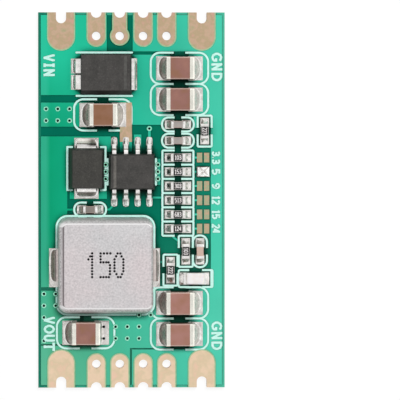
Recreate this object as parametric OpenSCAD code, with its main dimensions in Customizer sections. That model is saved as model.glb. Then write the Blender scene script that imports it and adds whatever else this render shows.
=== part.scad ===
// Step-down (buck) converter module: a small two-sided board with plated edge pads,
// a moulded power inductor, a controller chip, two diodes and chip parts on one face.
// X runs across the board, Y runs from the output edge to the input edge, Z is up
// out of the component face. The origin is the middle of the board's underside.

/* [Board] */
// Width of the board
board_w = 20.2; // [20:0.1:26]
// Length of the board, from the output edge to the input edge
board_l = 40.64; // [40.5:0.1:50]
// Thickness of the finished board
board_t = 1.6; // [0.8:0.1:2.4]
// Thickness of a copper layer together with the mask or plating on it
copper_t = 0.05; // [0.03:0.01:0.1]
// Bare border between the copper and the edge of the board
edge_clear = 0.28; // [0.1:0.01:0.4]
// Width of the gaps between the wide copper areas
pour_gap = 0.35; // [0.2:0.05:0.5]

/* [Edge pads] */
// Spacing of the signal pads, which is the header pitch
pitch = 2.54; // [2.4:0.01:2.6]
// Width of a signal pad
signal_pad_w = 2.04; // [1.6:0.01:2.2]
// Depth of a signal pad from the edge of the board
signal_pad_d = 3.7; // [3.5:0.05:3.9]
// Width of the neck of the pad that stands alone
lone_neck_w = 1.56; // [1.4:0.02:1.8]
// Diameter of a finished signal hole
signal_hole_d = 0.94; // [0.7:0.01:1.1]
// Distance of the signal holes from the edge of the board
signal_hole_in = 2.54; // [2.3:0.01:2.6]
// Diameter of the half holes in the edge of the board
edge_hole_d = 1.16; // [0.8:0.01:1.3]
// Width of a power pad
power_pad_w = 2.97; // [2.5:0.01:3.2]
// Depth of a power pad from the edge of the board
power_pad_d = 4.12; // [3.8:0.01:4.2]
// Width of the slot in a power pad
power_slot_w = 1.1; // [0.8:0.05:1.5]
// Depth of the slot in a power pad
power_slot_d = 1.18; // [0.9:0.02:1.6]

/* [Vias] */
// Diameter of the hole of a via
via_hole_d = 0.3; // [0.2:0.01:0.36]
// Wall of a via's barrel
via_wall = 0.05; // [0.03:0.01:0.06]
// Diameter of the ring around a via
via_ring_d = 0.6; // [0.5:0.01:0.7]
// Spacing of the vias that join the wide copper areas
via_pitch = 1.27; // [1.15:0.01:1.3]

/* [Solder and ink] */
// Thickness of the solder under a part
solder_t = 0.04; // [0.02:0.01:0.08]
// Share of a part's metal end that the solder climbs
solder_climb = 0.72; // [0.5:0.01:0.9]
// Thickness of the ink
ink_t = 0.03; // [0.02:0.01:0.06]
// Width of the ink lines
ink_w = 0.22; // [0.15:0.01:0.25]

/* [Large capacitors] */
// Length of a large capacitor over its ends
cap_l = 3.2; // [2.9:0.05:3.4]
// Width of a large capacitor
cap_w = 2.5; // [2.1:0.05:2.7]
// Height of a large capacitor
cap_h = 2.5; // [1.2:0.1:2.8]
// Length of each metal end of a large capacitor
cap_band = 0.55; // [0.3:0.05:0.8]
// Length over the two lands of a large capacitor
cap_land_l = 5.06; // [4.6:0.02:5.2]
// Width of the lands of a large capacitor
cap_land_w = 2.6; // [2.4:0.05:2.8]
// Spacing of two large capacitors that lie side by side
cap_pitch = 3.38; // [3.2:0.02:3.5]

/* [Small chip parts] */
// Length of a small chip part over its ends
chip_l = 1.6; // [1.4:0.05:1.8]
// Width of a small chip part
chip_w = 0.82; // [0.6:0.02:0.9]
// Height of a small chip capacitor
chip_cap_h = 0.8; // [0.5:0.05:0.9]
// Height of a chip resistor
resistor_h = 0.48; // [0.35:0.01:0.6]
// Thickness of the black glaze on a chip resistor
glaze_t = 0.05; // [0.02:0.01:0.1]
// Length of each metal end of a small chip part
chip_band = 0.3; // [0.2:0.02:0.4]
// Length over the two lands of a small chip part
chip_land_l = 2.92; // [2.6:0.02:3]
// Width of the lands of a small chip part
chip_land_w = 1.0; // [0.9:0.02:1.1]
// Spacing of the rows of the divider resistors and their jumpers
row_pitch = 1.54; // [1.5:0.01:1.56]
// Width of one jumper pad
jumper_pad_w = 0.57; // [0.4:0.01:0.6]
// Height of one jumper pad
jumper_pad_h = 1.05; // [0.8:0.01:1.15]
// Gap between the two pads of a jumper
jumper_gap = 0.19; // [0.12:0.01:0.3]
// Height of the bead of solder that closes a jumper
bead_h = 0.3; // [0.15:0.05:0.5]

/* [Indicator] */
// Length of the indicator lamp
led_l = 2.4; // [2:0.05:2.6]
// Width of the indicator lamp
led_w = 1.28; // [1.1:0.02:1.36]
// Height of the indicator lamp
led_h = 0.8; // [0.6:0.05:1]
// Height of the lamp's base, which carries the lens
led_base_h = 0.4; // [0.25:0.05:0.5]
// Length of each metal end of the lamp
led_end = 0.45; // [0.3:0.05:0.6]

/* [Inductor] */
// Length of the inductor between its terminals
coil_l = 10.3; // [10:0.05:10.5]
// Width of the inductor
coil_w = 10.4; // [10:0.05:10.5]
// Height of the inductor above its solder
coil_h = 4.0; // [3:0.1:5]
// Corner radius of the inductor
coil_r = 1.05; // [0.6:0.05:1.5]
// Height of the sloped shoulder below the inductor's top
coil_shoulder = 0.72; // [0.4:0.02:1]
// Width of a terminal of the inductor
coil_tab_w = 3.4; // [2.5:0.1:3.8]
// Thickness of a terminal of the inductor
coil_tab_t = 0.2; // [0.1:0.05:0.3]
// Height at which the terminals leave the inductor
coil_tab_z = 1.3; // [1:0.05:1.8]

/* [Controller] */
// Length of the controller chip's body
ic_l = 4.9; // [4.7:0.05:5]
// Width of the controller chip's body
ic_w = 3.9; // [3.7:0.05:4]
// Height of the controller chip's body
ic_h = 1.5; // [1.2:0.05:1.7]
// Gap between the controller's body and its solder
ic_gap = 0.06; // [0.04:0.01:0.15]
// Height of the parting line above the underside of the body
ic_mid = 0.62; // [0.5:0.02:0.7]
// Spacing of the controller chip's legs
leg_pitch = 1.27; // [1.2:0.01:1.3]
// Width of a leg
leg_w = 0.42; // [0.3:0.01:0.5]
// Thickness of a leg
leg_t = 0.2; // [0.12:0.01:0.25]
// Width over the toes of the legs
leg_span = 6.0; // [5.8:0.05:6.2]

/* [Diodes] */
// Length of the flat input diode's body
flat_diode_l = 5.5; // [5.2:0.05:5.6]
// Width of the flat input diode's body
flat_diode_w = 4.35; // [4.1:0.05:4.4]
// Height of the flat input diode's body
flat_diode_h = 1.1; // [0.9:0.05:1.4]
// Width of each of the flat diode's two legs
flat_leg_w = 1.5; // [1.2:0.05:1.6]
// Thickness of the flat diode's legs and tab
flat_leg_t = 0.3; // [0.15:0.05:0.35]
// Width of the flat diode's tab
flat_tab_w = 3.4; // [3:0.1:3.8]
// Length of the box diode's body
box_diode_l = 4.4; // [4.2:0.05:4.5]
// Width of the box diode's body
box_diode_w = 3.75; // [3.4:0.05:3.8]
// Height of the box diode above its solder
box_diode_h = 2.25; // [1.8:0.05:2.5]
// Width of the box diode's legs
box_leg_w = 2.05; // [1.6:0.05:2.4]
// Thickness of the box diode's legs
box_leg_t = 0.2; // [0.12:0.01:0.22]

/* [Hidden] */
$fn = 48;

mask_green = [0.0, 0.42, 0.33];
pour_green = [0.16, 0.73, 0.57];
gold = [0.80, 0.68, 0.52];
tin = [0.80, 0.79, 0.77];
ink = [0.80, 0.98, 0.93];
black = [0.22, 0.21, 0.21];
coil_grey = [0.80, 0.78, 0.78];
ceramic_brown = [0.60, 0.43, 0.37];
lens_white = [1, 0.98, 0.93];

// Levels and edges of the board
laminate_top = board_t - copper_t;
face_z = board_t;
part_z = board_t + solder_t;
ex = board_w / 2 - edge_clear;
ey = board_l / 2 - edge_clear;
cut = 0.1; // how far a cutting shape runs past what it cuts

// Edge pads
signal_x = [for (i = [-1.5 : 1.5]) i * pitch];
power_x = 3 * pitch;
lone_x = -0.5 * pitch;
lone_half = 1.4; // half the clear space around the lone pad

// Places of the parts: the middle of each, in x and y
input_cap_x = 5.2;
input_cap_y = 14.27;
middle_cap_x = -3.1;
middle_cap_y = 9.22;
output_cap_y = -14.53;
corner_cap_x = -4.97;
corner_cap_y = -14.38;
row_x = 5.03;
row_y = 4.6;
jumper_x = 7.765;
slow_start_cap_y = 8.19;
compensation_cap_y = 6.43;
feedback_cap_x = 7.42;
feedback_y = -5.56;
boost_cap_x = -4.48;
boost_cap_y = -1.03;
enable_resistor_x = 7.93;
enable_resistor_y = 7.47;
feedback_resistor_x = 5.88;
lamp_resistor_x = 4.22;
lamp_resistor_y = -7.6;
led_x = 6.8;
led_y = -8.52;
coil_x = -2.82;
coil_y = -7.07;
ic_x = 0.03;
ic_y = 3.06;
flat_diode_x = -2.75;
flat_diode_y = 13.63;
box_diode_x = -4.88;
box_diode_y = 3.44;

LARGE_CAPS = [
    [input_cap_x, input_cap_y],
    [input_cap_x, input_cap_y - cap_pitch],
    [middle_cap_x, middle_cap_y],
    [input_cap_x, output_cap_y + cap_pitch],
    [input_cap_x, output_cap_y],
    [corner_cap_x, corner_cap_y]];
ROWS = [for (i = [0 : 5]) row_y - i * row_pitch];
// x, y and turn of each small part
SMALL_CAPS = [
    [row_x, slow_start_cap_y, 0],
    [row_x, compensation_cap_y, 0],
    [feedback_cap_x, feedback_y, 90],
    [boost_cap_x, boost_cap_y, 0]];
RESISTORS = concat(
    [for (y = ROWS) [row_x, y, 0]],
    [[enable_resistor_x, enable_resistor_y, 90],
     [feedback_resistor_x, feedback_y, 90],
     [lamp_resistor_x, lamp_resistor_y, 90]]);

// Metal ends of the chip parts, and how far their lands reach in under them
end_skin = 0.04;
end_inset = 0.02; // how much narrower than its part an end or a joint is
land_under = 0.08;
cap_land_each = (cap_land_l - cap_l) / 2 + cap_band + land_under;
chip_land_each = (chip_land_l - chip_l) / 2 + chip_band + land_under;

// Lamp
led_land_l = 3.3;
led_land_w = 1.36;
led_land_each = (led_land_l - led_l) / 2 + led_end;
lens_draft = 0.06;

// Inductor
coil_gap = 0.1; // between the block and its solder
coil_draft = [0.1, 0.26]; // lean of the sides across X and across Y
coil_slope = [0.28, 0.42]; // width of the shoulder across X and across Y
shoulder_break = 0.35; // share of the shoulder above its upper edge
coil_tab_out = 0.3; // from the block's side to the middle of the terminal
coil_tab_r = 0.3;
coil_tab_in = 0.8;
coil_foot = 1.7; // how far a terminal runs back under the block
coil_land_l = 12.0;
coil_land_w = 4.2;
coil_land_x = coil_x - 0.11;
coil_land_y = coil_y - 0.26;
coil_land_each = (coil_land_l - coil_l) / 2 + coil_foot + 0.2;
coil_joint_in = 0.15; // from the joint's toe to the end of its land
coil_joint_h = 0.8;

// Controller
leg_toe = 0.78; // from a leg's toe to the end of its land
leg_heel = 0.7; // length of a leg's foot on its solder
leg_knee = 0.42; // from the body's side to the outer bend
leg_bend_r = 0.22;
leg_lean = 8; // degrees
leg_in = 0.5;
leg_land_l = 1.7;
leg_land_w = 0.66;
leg_land_r = 0.3;
leg_row = ic_w / 2 + leg_knee;
leg_end = leg_span / 2;
ic_lean = 0.22;
ic_edge = 0.05; // bevel around the top of a moulded body
heat_pad = [3.1, 2.4];
heat_pad_t = 0.2;
index_bar_w = 0.36;
index_bar_in = 0.42;
index_bar_end = 0.2;
index_bar_deep = 0.04;

// Flat diode
flat_lean = 0.16;
flat_leg_pitch = 1.75;
flat_leg_out = 0.55;
flat_leg_in = 1.1;
flat_land_out = 1.05;
flat_land_in = 0.65;
flat_tab_out = 0.32;
flat_tab_heel = -0.5; // inner end of the tab, from the middle of the body
tab_land_out = 0.6;
tab_land_in = 0.15;
land_side = 0.05; // how far a diode's land shows beside its leg

// Box diode
box_lean = 0.3;
box_gap = 0.24;
box_mid = 1.1; // height of the legs' upper run
box_leg_out = 0.42;
box_leg_in = 0.6;
box_leg_r = 0.3;
box_foot = 1.4;
box_land_l = 6.6;
box_land_w = 2.62;
box_land_each = (box_land_l - box_diode_l) / 2 + box_foot - 0.3;
box_joint_h = 0.6;

// Wide copper areas: their edges
trace_w = 0.22;
wide_trace_w = 0.3;
cap_under = 1.0; // how far an area reaches in under a large capacitor's end
anode_pour_x = flat_diode_x - 1.55;
cathode_pour_x = flat_diode_x + 0.3;
diode_pour_y = 11.36;
shelf_x = -4;
shelf_top_y = 10.56;
shelf_low_y = 7.94;
supply_low_y = 8.15;
strip_x0 = -1.25;
strip_x1 = 0.04;
strip_low_y = 6.3;
strip_end_y = 5.25;
switch_x = -6.95;
switch_top_y = 6.9;
switch_bend_y = 5.2;
switch_low_y = -9.45;
input_gap_y = 16.1;
output_gap_y = -16.05;
output_low_y = -16.2;
output_top_y = -15.78;
output_x = -0.17;
output_left_x = -5.2;
coil_pour_x0 = 0.6;
coil_pour_x1 = 3.05;
coil_pour_y0 = -9.6;
coil_pour_y1 = -5.2;
ground_x = 8.6;
ground_bend_y = 9;
enable_pour_x = 6.72;
enable_pour_y = 7.82;
lamp_pour_y = -9.4;
corner_pour_x = -5.6;
corner_pour_y = -15.6;
box_pour_x0 = -6.7;
box_pour_x1 = -2.65;
box_pour_y0 = 0.12;
box_pour_y1 = 1.8;
ic_pour = [6.2, 2.85];
ic_neck_w = 0.82;
ic_neck_x = leg_pitch / 2 - ic_neck_w / 2;
ic_neck_y = 4.04;
feedback_trace_y = 0.27;
boost_trace_x = -2.4;
boost_trace_y = -0.45;
divider_trace = [[4.5, -4.0], [5.3, -4.62]];
lamp_trace_x = 2.9;
lamp_trace_y = -6.72;

// Vias, each group from its first place
shelf_via_x = -6.71;
shelf_via_y = 8.6;
corner_via_x = -9.49;
corner_via_y = -10.17;
output_via_x = -3.0;
output_via_y = -12.46;
ic_via_x = 2.83;
ic_via_pitch = 0.77;
boost_via_y = 7.74;
boost_leg_x = ic_x + 1.5 * leg_pitch;

VIAS = concat(
    [for (i = [0 : 2], j = [0 : 1]) [shelf_via_x - i * via_pitch, shelf_via_y + j * via_pitch]],
    [for (i = [0 : 1], j = [0 : 1]) [corner_via_x + i * via_pitch, corner_via_y - j * via_pitch]],
    [for (j = [2, 4]) [corner_via_x, corner_via_y - j * via_pitch]],
    [for (i = [0 : 3], j = [1 : 2]) [output_via_x + i * via_pitch, output_via_y - j * via_pitch]],
    [for (i = [3 : 4]) [output_via_x + i * via_pitch, output_via_y]],
    [for (x = [-ic_via_x, ic_via_x], j = [-1 : 1]) [ic_x + x, ic_y + j * ic_via_pitch]],
    [[boost_leg_x, boost_via_y]]);

// Ink frames
cap_frame_l = 6.22;
cap_frame_r = 1.0;
cap_frame_open = 1.26;
chip_frame = [3.44, 1.52];
chip_frame_r = 0.7;
row_frame_l = 3.36;
row_frame_r = 0.12;
chip_frame_open = 0.72;
led_frame = [3.66, 1.84];
led_frame_x = 0.15;
led_frame_open = 1.4;
led_bar_x = 1.86; // the extra bar that marks one end of the lamp
flat_ink = [-3.2, 2.8];
flat_ink_gap = 0.06;
box_ink = [-2.35, 2.3];
box_ink_gap = 0.08;
box_ink_arm = 0.5;
ic_ink_gap = 0.06;
ic_ink_half = 1.38;
coil_ink_gap = 0.03;

// ---- plain shapes ----

// A rectangle given by two opposite corners
module span(x0, y0, x1, y1) {
    translate([x0, y0]) square([x1 - x0, y1 - y0]);
}

// A centred rectangle with round corners
module round_rect(size, r) {
    square([size[0] - 2 * r, size[1]], center = true);
    square([size[0], size[1] - 2 * r], center = true);
    for (x = [-1, 1], y = [-1, 1])
        translate([x * (size[0] / 2 - r), y * (size[1] / 2 - r)]) circle(r);
}

// A block that stands on z = 0, with every edge rounded
module round_block(size, r) {
    intersection() {
        linear_extrude(size[2]) round_rect([size[0], size[1]], r);
        translate([0, size[1] / 2, size[2] / 2]) rotate([90, 0, 0])
            linear_extrude(size[1]) round_rect([size[0], size[2]], r);
        translate([-size[0] / 2, 0, size[2] / 2]) rotate([90, 0, 90])
            linear_extrude(size[0]) round_rect([size[1], size[2]], r);
    }
}

// Extrudes an outline drawn in X and Z, centred on Y
module across_y(w) {
    translate([0, w / 2, 0]) rotate([90, 0, 0]) linear_extrude(w) children();
}

// Extrudes an outline drawn in Y and Z, centred on X
module across_x(w) {
    translate([-w / 2, 0, 0]) rotate([90, 0, 90]) linear_extrude(w) children();
}

// A pill between two points
module stroke_line(a, b, w) {
    d = b - a;
    translate(a) circle(w / 2);
    translate(b) circle(w / 2);
    translate(a) rotate(atan2(d[1], d[0])) translate([0, -w / 2]) square([norm(d), w]);
}

// Points of an arc about c, from angle a0 to angle a1
function arc(c, r, a0, a1, n = 6) =
    [for (i = [0 : n]) c + r * [cos(a0 + (a1 - a0) * i / n), sin(a0 + (a1 - a0) * i / n)]];

function unit(v) = v / norm(v);
function left_of(v) = [-v[1], v[0]];

// Mitre direction of a path at point i, scaled so that the band keeps its thickness
function mitre(p, i) =
    let (n = len(p) - 1,
         a = left_of(unit(i > 0 ? p[i] - p[i - 1] : p[1] - p[0])),
         b = left_of(unit(i < n ? p[i + 1] - p[i] : p[n] - p[n - 1])))
    (a + b) / (1 + a * b);

// A metal strip of even thickness bent along a path
module strip_outline(p, t) {
    n = len(p) - 1;
    polygon(concat(
        [for (i = [0 : n]) p[i] + t / 2 * mitre(p, i)],
        [for (i = [n : -1 : 0]) p[i] - t / 2 * mitre(p, i)]));
}

// Hollow corner of solder, w wide and h high, against a wall at x = 0
module hollow_corner(w, h) {
    r = (w * w + h * h) / (2 * min(w, h));
    difference() {
        square([w, h]);
        translate(w < h ? [r, h] : [w, r]) circle(r, $fn = 128);
    }
}

// One soldered end, seen from the side. The wall it climbs is at x = wall.
module solder_side(heel, wall, toe, rise) {
    span(heel, 0, toe, solder_t);
    translate([wall, solder_t]) hollow_corner(toe - wall, rise);
}

// Puts its children at the middle of a part, on its solder
module at_part(x, y, turn = 0) {
    translate([x, y, part_z]) rotate(turn) children();
}

// ---- board ----

module slot_outline(grow) {
    r = power_slot_w / 2 + grow;
    translate([0, -power_slot_d + power_slot_w / 2]) circle(r);
    span(-r, -power_slot_d + power_slot_w / 2, r, 1);
}

// A pad that runs in from the edge at y = 0 and has a round inner end
module edge_pad_outline(w, d) {
    translate([0, w / 2 - d]) circle(w / 2);
    span(-w / 2, w / 2 - d, w / 2, 0);
}

// The pad that stands alone has a round head about its hole and a narrower neck
module lone_pad_outline() {
    translate([0, -signal_hole_in]) circle(signal_pad_w / 2);
    span(-lone_neck_w / 2, -signal_hole_in, lone_neck_w / 2, 0);
}

// Puts its children at a place along both edges, with the edge at y = 0
module at_edges(places) {
    for (side = [0, 180], x = places)
        rotate(side) translate([x, board_l / 2]) children();
}

module at_power_pads() {
    at_edges([-power_x, power_x]) children();
}

module signal_pads_outline() {
    at_edges([for (x = signal_x) if (x != lone_x) x]) edge_pad_outline(signal_pad_w, signal_pad_d);
    rotate(180) translate([lone_x, board_l / 2]) edge_pad_outline(signal_pad_w, signal_pad_d);
    translate([lone_x, board_l / 2]) lone_pad_outline();
}

module power_pads_outline() {
    at_power_pads() edge_pad_outline(power_pad_w, power_pad_d);
}

// The drilled and half-drilled openings of the signal pads, grown by the plating
module signal_holes(grow) {
    at_edges(signal_x) {
        translate([0, -signal_hole_in]) circle(signal_hole_d / 2 + grow);
        circle(edge_hole_d / 2 + grow);
    }
}

module vias_outline(d) {
    for (p = VIAS) translate(p) circle(d / 2);
}

module board_outline() {
    square([board_w, board_l], center = true);
}

module circuit_board() {
    color(mask_green) difference() {
        linear_extrude(laminate_top) difference() {
            board_outline();
            signal_holes(copper_t);
            at_power_pads() slot_outline(copper_t);
            vias_outline(via_hole_d + 2 * via_wall);
        }
        translate([0, 0, -cut]) linear_extrude(copper_t + cut) {
            signal_pads_outline();
            power_pads_outline();
            vias_outline(via_ring_d);
        }
    }
}

module castellated_power_pads() {
    color(gold) {
        for (z = [0, laminate_top])
            translate([0, 0, z]) linear_extrude(copper_t) difference() {
                power_pads_outline();
                at_power_pads() slot_outline(0);
            }
        linear_extrude(board_t) intersection() {
            board_outline();
            difference() {
                at_power_pads() slot_outline(copper_t);
                at_power_pads() slot_outline(0);
            }
        }
    }
}

module castellated_signal_pads() {
    color(gold) {
        for (z = [0, laminate_top])
            translate([0, 0, z]) linear_extrude(copper_t) difference() {
                signal_pads_outline();
                signal_holes(0);
            }
        linear_extrude(board_t) intersection() {
            board_outline();
            difference() {
                signal_holes(copper_t);
                signal_holes(0);
            }
        }
    }
}

module via_barrels() {
    color(pour_green) difference() {
        union() {
            linear_extrude(board_t) vias_outline(via_hole_d + 2 * via_wall);
            for (z = [0, laminate_top])
                translate([0, 0, z]) linear_extrude(copper_t) vias_outline(via_ring_d);
        }
        translate([0, 0, -cut]) linear_extrude(board_t + 2 * cut) vias_outline(via_hole_d);
    }
}

// ---- lands ----

// Two lands of length pad_l, l over both, at the ends of a part that lies along X
module land_pair(l, w, pad_l) {
    for (s = [-1, 1]) translate([s * (l - pad_l) / 2, 0]) square([pad_l, w], center = true);
}

module leg_lands_outline() {
    for (s = [-1, 1], i = [-1.5 : 1.5])
        translate([ic_x + i * leg_pitch, ic_y + s * (leg_end + leg_toe - leg_land_l / 2)])
            round_rect([leg_land_w, leg_land_l], leg_land_r);
}

module flat_diode_lands_outline() {
    for (s = [-1, 1])
        translate([-flat_diode_l / 2 - flat_land_out, (s * flat_leg_pitch - flat_leg_w) / 2 - land_side])
            square([flat_land_out + flat_land_in, flat_leg_w + 2 * land_side]);
    span(flat_tab_heel - tab_land_in, -flat_tab_w / 2, flat_diode_l / 2 + tab_land_out, flat_tab_w / 2);
}

module lands_outline() {
    for (p = LARGE_CAPS) translate(p) land_pair(cap_land_l, cap_land_w, cap_land_each);
    for (p = concat(SMALL_CAPS, RESISTORS))
        translate([p[0], p[1]]) rotate(p[2]) land_pair(chip_land_l, chip_land_w, chip_land_each);
    translate([led_x, led_y]) land_pair(led_land_l, led_land_w, led_land_each);
    translate([coil_land_x, coil_land_y]) land_pair(coil_land_l, coil_land_w, coil_land_each);
    translate([box_diode_x, box_diode_y]) rotate(90) land_pair(box_land_l, box_land_w, box_land_each);
    translate([flat_diode_x, flat_diode_y]) flat_diode_lands_outline();
    leg_lands_outline();
    translate([ic_x, ic_y]) square(heat_pad, center = true);
}

module component_lands() {
    color(tin) translate([0, 0, laminate_top]) linear_extrude(copper_t) difference() {
        lands_outline();
        vias_outline(via_ring_d);
    }
}

module jumper_pads_outline() {
    for (y = ROWS, s = [-1, 1])
        translate([jumper_x + s * (jumper_gap + jumper_pad_w) / 2, y])
            square([jumper_pad_w, jumper_pad_h], center = true);
}

module jumper_pads() {
    color(gold) translate([0, 0, laminate_top]) linear_extrude(copper_t) jumper_pads_outline();
}

// ---- copper under the mask ----

// The strip of the input supply that is left bare above the controller
module bare_strip_outline() {
    difference() {
        span(strip_x0, strip_low_y, strip_x1, shelf_top_y);
        lands_outline();
    }
}

module bare_supply_strip() {
    color(gold) translate([0, 0, laminate_top]) linear_extrude(copper_t) bare_strip_outline();
}

module traces_outline() {
    for (y = ROWS)
        span(row_x + chip_land_l / 2 - cut, y - trace_w / 2,
             jumper_x - jumper_gap / 2 - cut, y + trace_w / 2);
    stroke_line([boost_leg_x, ic_y + leg_end], [boost_leg_x, boost_via_y], wide_trace_w);
    // from the feedback leg to the divider
    stroke_line([boost_leg_x, feedback_trace_y], [row_x - chip_land_l / 2 + cut, feedback_trace_y], trace_w);
    // from the switch area through the boost capacitor to the controller
    stroke_line([switch_x - cut, boost_cap_y], [boost_cap_x - chip_l / 2, boost_cap_y], trace_w);
    stroke_line([boost_cap_x + chip_l / 2, boost_cap_y], [boost_trace_x, boost_cap_y], trace_w);
    stroke_line([boost_trace_x, boost_cap_y], [ic_x - 1.5 * leg_pitch, boost_trace_y], trace_w);
    // from the divider to the feedback parts, and from the output to the lamp's resistor
    stroke_line(divider_trace[0], divider_trace[1], trace_w);
    stroke_line([lamp_trace_x, lamp_trace_y], [lamp_resistor_x, lamp_trace_y], trace_w);
}

module copper_outline() {
    // input area, from the input pads to the flat diode
    span(-ex, diode_pour_y, anode_pour_x, input_gap_y);
    span(-ex, input_gap_y, lone_x - lone_half, ey);
    // supply area between the flat diode, the input capacitors and the controller
    span(cathode_pour_x, shelf_top_y, input_cap_x - cap_under, input_gap_y - pour_gap);
    span(strip_x0, strip_end_y, strip_x1, shelf_top_y);
    span(strip_x1, supply_low_y, input_cap_x - cap_under, shelf_top_y);
    // ground along the right side
    span(lone_x + lone_half, input_gap_y, ex, ey);
    span(input_cap_x + cap_under, ground_bend_y, ex, input_gap_y);
    span(enable_pour_x, enable_pour_y, ex, ground_bend_y);
    span(ground_x, lamp_pour_y, ex, enable_pour_y);
    span(input_cap_x + cap_under, output_low_y, ex, lamp_pour_y);
    span(strip_x1, -ey, ex, output_low_y);
    // ground shelf beside the third large capacitor
    span(-ex, shelf_low_y, shelf_x, shelf_top_y);
    // switch area, from the box diode down to the inductor
    span(-ex, switch_low_y, switch_x, switch_top_y);
    span(switch_x, switch_bend_y, ic_x - 1.5 * leg_pitch - pour_gap, switch_top_y);
    // ground around the controller
    span(box_pour_x0, box_pour_y0, box_pour_x1, box_pour_y1);
    translate([ic_x, ic_y]) square(ic_pour, center = true);
    translate([ic_x + ic_neck_x, ic_y]) square([ic_neck_w, ic_neck_y]);
    // output area
    span(-ex, -ey, output_x, output_top_y);
    span(output_left_x, output_gap_y, input_cap_x - cap_under, switch_low_y);
    span(coil_pour_x0, coil_pour_y0, coil_pour_x1, coil_pour_y1);
    // ground at the lower left
    span(-ex, corner_pour_y, corner_pour_x, switch_low_y - pour_gap);
    traces_outline();
}

module top_copper_areas() {
    color(pour_green) translate([0, 0, laminate_top]) linear_extrude(copper_t) difference() {
        copper_outline();
        lands_outline();
        jumper_pads_outline();
        bare_strip_outline();
        signal_pads_outline();
        power_pads_outline();
        signal_holes(copper_t);
        at_power_pads() slot_outline(copper_t);
        vias_outline(via_ring_d);
    }
}

// ---- ink ----

module frame_outline(size, r) {
    difference() {
        round_rect(size + [ink_w, ink_w], r + ink_w / 2);
        round_rect(size - [ink_w, ink_w], max(r - ink_w / 2, 0.01));
    }
}

// A frame around a part, open in the middle of its two long sides
module open_frame(size, r, gap) {
    difference() {
        frame_outline(size, r);
        square([gap, 2 * size[1]], center = true);
    }
}

module box_diode_ink() {
    x = (box_diode_w + ink_w) / 2 + box_ink_gap;
    for (s = [-1, 1]) {
        stroke_line([s * x, box_ink[0]], [s * x, box_ink[1]], ink_w);
        for (y = box_ink) stroke_line([s * (x - box_ink_arm), y], [s * x, y], ink_w);
    }
}

module coil_ink() {
    grow = coil_ink_gap + ink_w / 2;
    frame_outline([coil_l + 2 * grow, coil_w + 2 * grow], coil_r + grow);
}

module ink_outline() {
    for (p = LARGE_CAPS) translate(p) open_frame([cap_frame_l, cap_pitch], cap_frame_r, cap_frame_open);
    for (p = SMALL_CAPS)
        translate([p[0], p[1]]) rotate(p[2]) open_frame(chip_frame, chip_frame_r, chip_frame_open);
    for (p = RESISTORS)
        translate([p[0], p[1]]) rotate(p[2])
            open_frame([row_frame_l, p[2] == 0 ? row_pitch : chip_frame[1]], row_frame_r, chip_frame_open);
    translate([led_x + led_frame_x, led_y]) open_frame(led_frame, row_frame_r, led_frame_open);
    translate([led_x + led_bar_x, led_y]) square([ink_w, led_frame[1]], center = true);
    for (s = [-1, 1])
        translate([flat_diode_x, flat_diode_y + s * ((flat_diode_w + ink_w) / 2 + flat_ink_gap)])
            stroke_line([flat_ink[0], 0], [flat_ink[1], 0], ink_w);
    translate([box_diode_x, box_diode_y]) box_diode_ink();
    for (s = [-1, 1])
        translate([ic_x + s * ((ic_l + ink_w) / 2 + ic_ink_gap), ic_y])
            stroke_line([0, -ic_ink_half], [0, ic_ink_half], ink_w);
    translate([coil_x, coil_y]) coil_ink();
}

module ink_outlines() {
    color(ink) translate([0, 0, laminate_top]) difference() {
        linear_extrude(copper_t + ink_t) difference() {
            ink_outline();
            lands_outline();
            bare_strip_outline();
            jumper_pads_outline();
            power_pads_outline();
            vias_outline(via_ring_d);
        }
        linear_extrude(copper_t) copper_outline();
    }
}

// ---- chip capacitors ----

// Ceramic body, which stands clear of the solder by the skin of its metal ends
module chip_ceramic(l, w, h) {
    translate([0, 0, end_skin])
        round_block([l - 4 * end_skin, w - 2 * end_skin, h - 2 * end_skin], 0.07 * h + end_inset);
}

module chip_ends(l, w, h, band) {
    difference() {
        round_block([l, w, h], 0.07 * h + end_inset + end_skin);
        cube([l - 2 * band, 2 * w, 3 * h], center = true);
        chip_ceramic(l, w, h);
    }
}

module large_capacitor_ceramic(i) {
    color(ceramic_brown) at_part(LARGE_CAPS[i][0], LARGE_CAPS[i][1]) chip_ceramic(cap_l, cap_w, cap_h);
}

module large_capacitor_ends(i) {
    color(tin) at_part(LARGE_CAPS[i][0], LARGE_CAPS[i][1]) chip_ends(cap_l, cap_w, cap_h, cap_band);
}

module small_capacitor_ceramic(i) {
    p = SMALL_CAPS[i];
    color(ceramic_brown) at_part(p[0], p[1], p[2]) chip_ceramic(chip_l, chip_w, chip_cap_h);
}

module small_capacitor_ends() {
    color(tin) for (p = SMALL_CAPS)
        at_part(p[0], p[1], p[2]) chip_ends(chip_l, chip_w, chip_cap_h, chip_band);
}

// ---- flat chips, whose ends wrap over the top and bottom of a plain body ----

module flat_chip_body(l, w, h) {
    translate([0, 0, end_skin]) round_block([l - 2 * end_skin, w, h - 2 * end_skin], end_skin);
}

module flat_chip_ends(l, w, h, band) {
    difference() {
        across_y(w - 2 * end_inset) difference() {
            translate([0, h / 2]) round_rect([l, h], end_skin + end_inset);
            square([l - 2 * band, 3 * h], center = true);
        }
        flat_chip_body(l, w, h);
    }
}

// Height of a resistor's ends. The glaze stands a little higher.
resistor_end_h = resistor_h - glaze_t + end_skin;

module resistor_substrate(i) {
    p = RESISTORS[i];
    color("white") at_part(p[0], p[1], p[2]) flat_chip_body(chip_l, chip_w, resistor_end_h);
}

module resistor_glazes() {
    color(black) for (p = RESISTORS)
        at_part(p[0], p[1], p[2]) translate([0, 0, resistor_h - glaze_t]) linear_extrude(glaze_t)
            round_rect([chip_l - 2 * (chip_band + end_inset), chip_w - 2 * end_skin], end_skin);
}

module resistor_ends() {
    color(tin) for (p = RESISTORS)
        at_part(p[0], p[1], p[2]) flat_chip_ends(chip_l, chip_w, resistor_end_h, chip_band);
}

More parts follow.
